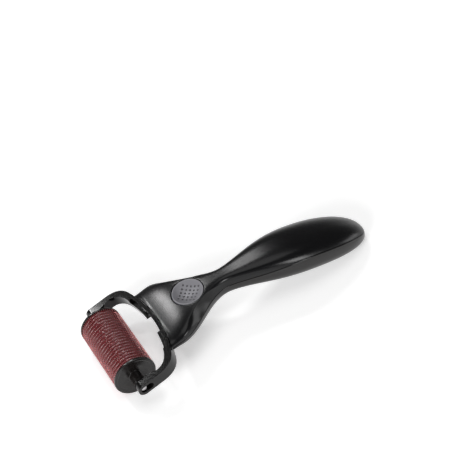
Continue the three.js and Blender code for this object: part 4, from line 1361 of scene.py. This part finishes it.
class BuildStage(RollerOperator):
    """Builds the floor, the studio lights and the camera"""
    bl_idname = "roller.build_stage"
    bl_label = "Stage"

    def execute(self, context):
        scene = context.scene
        self.floor(scene)
        self.lights(scene)
        self.camera(scene)
        scene.view_settings.view_transform = "Standard"
        return {"FINISHED"}

    def floor(self, scene):
        reach = 3.0
        mesh = bpy.data.meshes.new("floor")
        mesh.from_pydata([(-reach, -reach, 0), (reach, -reach, 0), (reach, reach, 0),
                          (-reach, reach, 0)], [], [(0, 1, 2, 3)])
        floor = show_mesh("floor", mesh)
        material = bpy.data.materials.new("floor")
        material.use_nodes = True
        shader = material.node_tree.nodes["Principled BSDF"]
        shader.inputs["Base Color"].default_value = (*scene.roller_finish.floor, 1)
        shader.inputs["Roughness"].default_value = 0.9
        shader.inputs["Specular IOR Level"].default_value = 0.1
        shader.inputs["Emission Color"].default_value = (1, 1, 1, 1)
        shader.inputs["Emission Strength"].default_value = 0.42
        mesh.materials.append(material)

    def lights(self, scene):
        world = bpy.data.worlds.new("studio")
        scene.world = world
        world.use_nodes = True
        tree = world.node_tree
        background = tree.nodes["Background"]
        parts = add_node(tree, "ShaderNodeSeparateXYZ")
        tree.links.new(add_node(tree, "ShaderNodeTexCoord").outputs["Generated"],
                       parts.inputs[0])
        # A dim ceiling over a light horizon, and plain white for the camera.
        room = ramp_of(tree, parts.outputs["Z"], 0.02, 0.3, 0.9, 0.13)
        seen = add_node(tree, "ShaderNodeLightPath").outputs["Is Camera Ray"]
        tree.links.new(maths(tree, "MAXIMUM", room, seen), background.inputs["Strength"])
        background.inputs["Color"].default_value = (1, 1, 1, 1)
        # Name, azimuth from +Y, elevation, width, height, brightness, and whether the
        # panel lights the surfaces or only shines in them.
        panels = (
            ("back_left_panel", -24, 43, 0.12, 0.14, 42.0, True),
            ("back_panel", 9, 48, 0.3, 0.2, 15.0, True),
            ("front_panel", 160, 22, 0.45, 0.5, 8.0, False),
            ("left_panel", -125, 24, 0.5, 0.4, 17.0, True),
            ("right_panel", 108, 7, 0.7, 0.3, 2.4, False),
            ("top_panel", 60, 86, 0.9, 0.9, 1.25, True),
        )
        distance = 1.3
        for name, azimuth, elevation, width, height, brightness, lights_up in panels:
            a, e = math.radians(azimuth), math.radians(elevation)
            towards = Vector((math.sin(a) * math.cos(e), math.cos(a) * math.cos(e),
                              math.sin(e)))
            lamp = bpy.data.lights.new(name, "AREA")
            lamp.shape = "RECTANGLE"
            lamp.size, lamp.size_y = width, height
            lamp.energy = brightness * math.pi * width * height
            lit = bpy.data.objects.new(name, lamp)
            lit.visible_diffuse = lights_up
            scene.collection.objects.link(lit)
            lit.location = towards * distance
            lit.rotation_euler = towards.to_track_quat("Z", "Y").to_euler()

    def camera(self, scene):
        stage = scene.roller_stage
        azimuth, elevation, roll = (math.radians(v) for v in
                                    (stage.azimuth, stage.elevation, stage.roll))
        right = Vector((math.cos(azimuth), -math.sin(azimuth), 0))
        ahead = Vector((math.sin(azimuth), math.cos(azimuth), 0))
        above = Vector((0, 0, 1))
        towards = -ahead * math.cos(elevation) + above * math.sin(elevation)
        up = ahead * math.sin(elevation) + above * math.cos(elevation)
        across = right * math.cos(roll) - up * math.sin(roll)
        upward = right * math.sin(roll) + up * math.cos(roll)
        data = bpy.data.cameras.new("camera")
        data.lens = stage.lens
        data.sensor_width = 36.0
        data.clip_start, data.clip_end = 0.01, 20.0
        data.dof.use_dof = False
        camera = bpy.data.objects.new("camera", data)
        scene.collection.objects.link(camera)
        camera.location = (across * stage.offset_right + upward * stage.offset_up
                           + towards * stage.distance + Vector((AXIS_X, 0, 0)))
        turn = Matrix((across, upward, towards)).transposed()
        camera.rotation_euler = turn.to_euler()
        scene.camera = camera


class RollerPanel(bpy.types.Panel):
    """Lists the operators that build the roller"""
    bl_idname = "VIEW3D_PT_roller"
    bl_label = "Derma Roller"
    bl_space_type = "VIEW_3D"
    bl_region_type = "UI"
    bl_category = "Derma Roller"

    def draw(self, context):
        for operator in BUILD_ORDER:
            self.layout.operator(operator.bl_idname)
        for name, group in SETTINGS.items():
            box_of = self.layout.box()
            for prop in group.__annotations__:
                box_of.prop(getattr(context.scene, name), prop)


BUILD_ORDER = (BuildHandleTop, BuildHandleBottom, BuildButton, BuildHead, BuildDrum, BuildCaps,
               BuildAxle, DressCarriedNodes, BuildStage)
CLASSES = (*SETTINGS.values(), *BUILD_ORDER, RollerPanel)


def register():
    for item in CLASSES:
        bpy.utils.register_class(item)
    for name, group in SETTINGS.items():
        setattr(bpy.types.Scene, name, PointerProperty(type=group))


def unregister():
    for name in SETTINGS:
        delattr(bpy.types.Scene, name)
    for item in reversed(CLASSES):
        bpy.utils.unregister_class(item)


def main():
    register()
    for operator in BUILD_ORDER:
        family, name = operator.bl_idname.split(".")
        getattr(getattr(bpy.ops, family), name)()


if __name__ == "__main__":
    main()
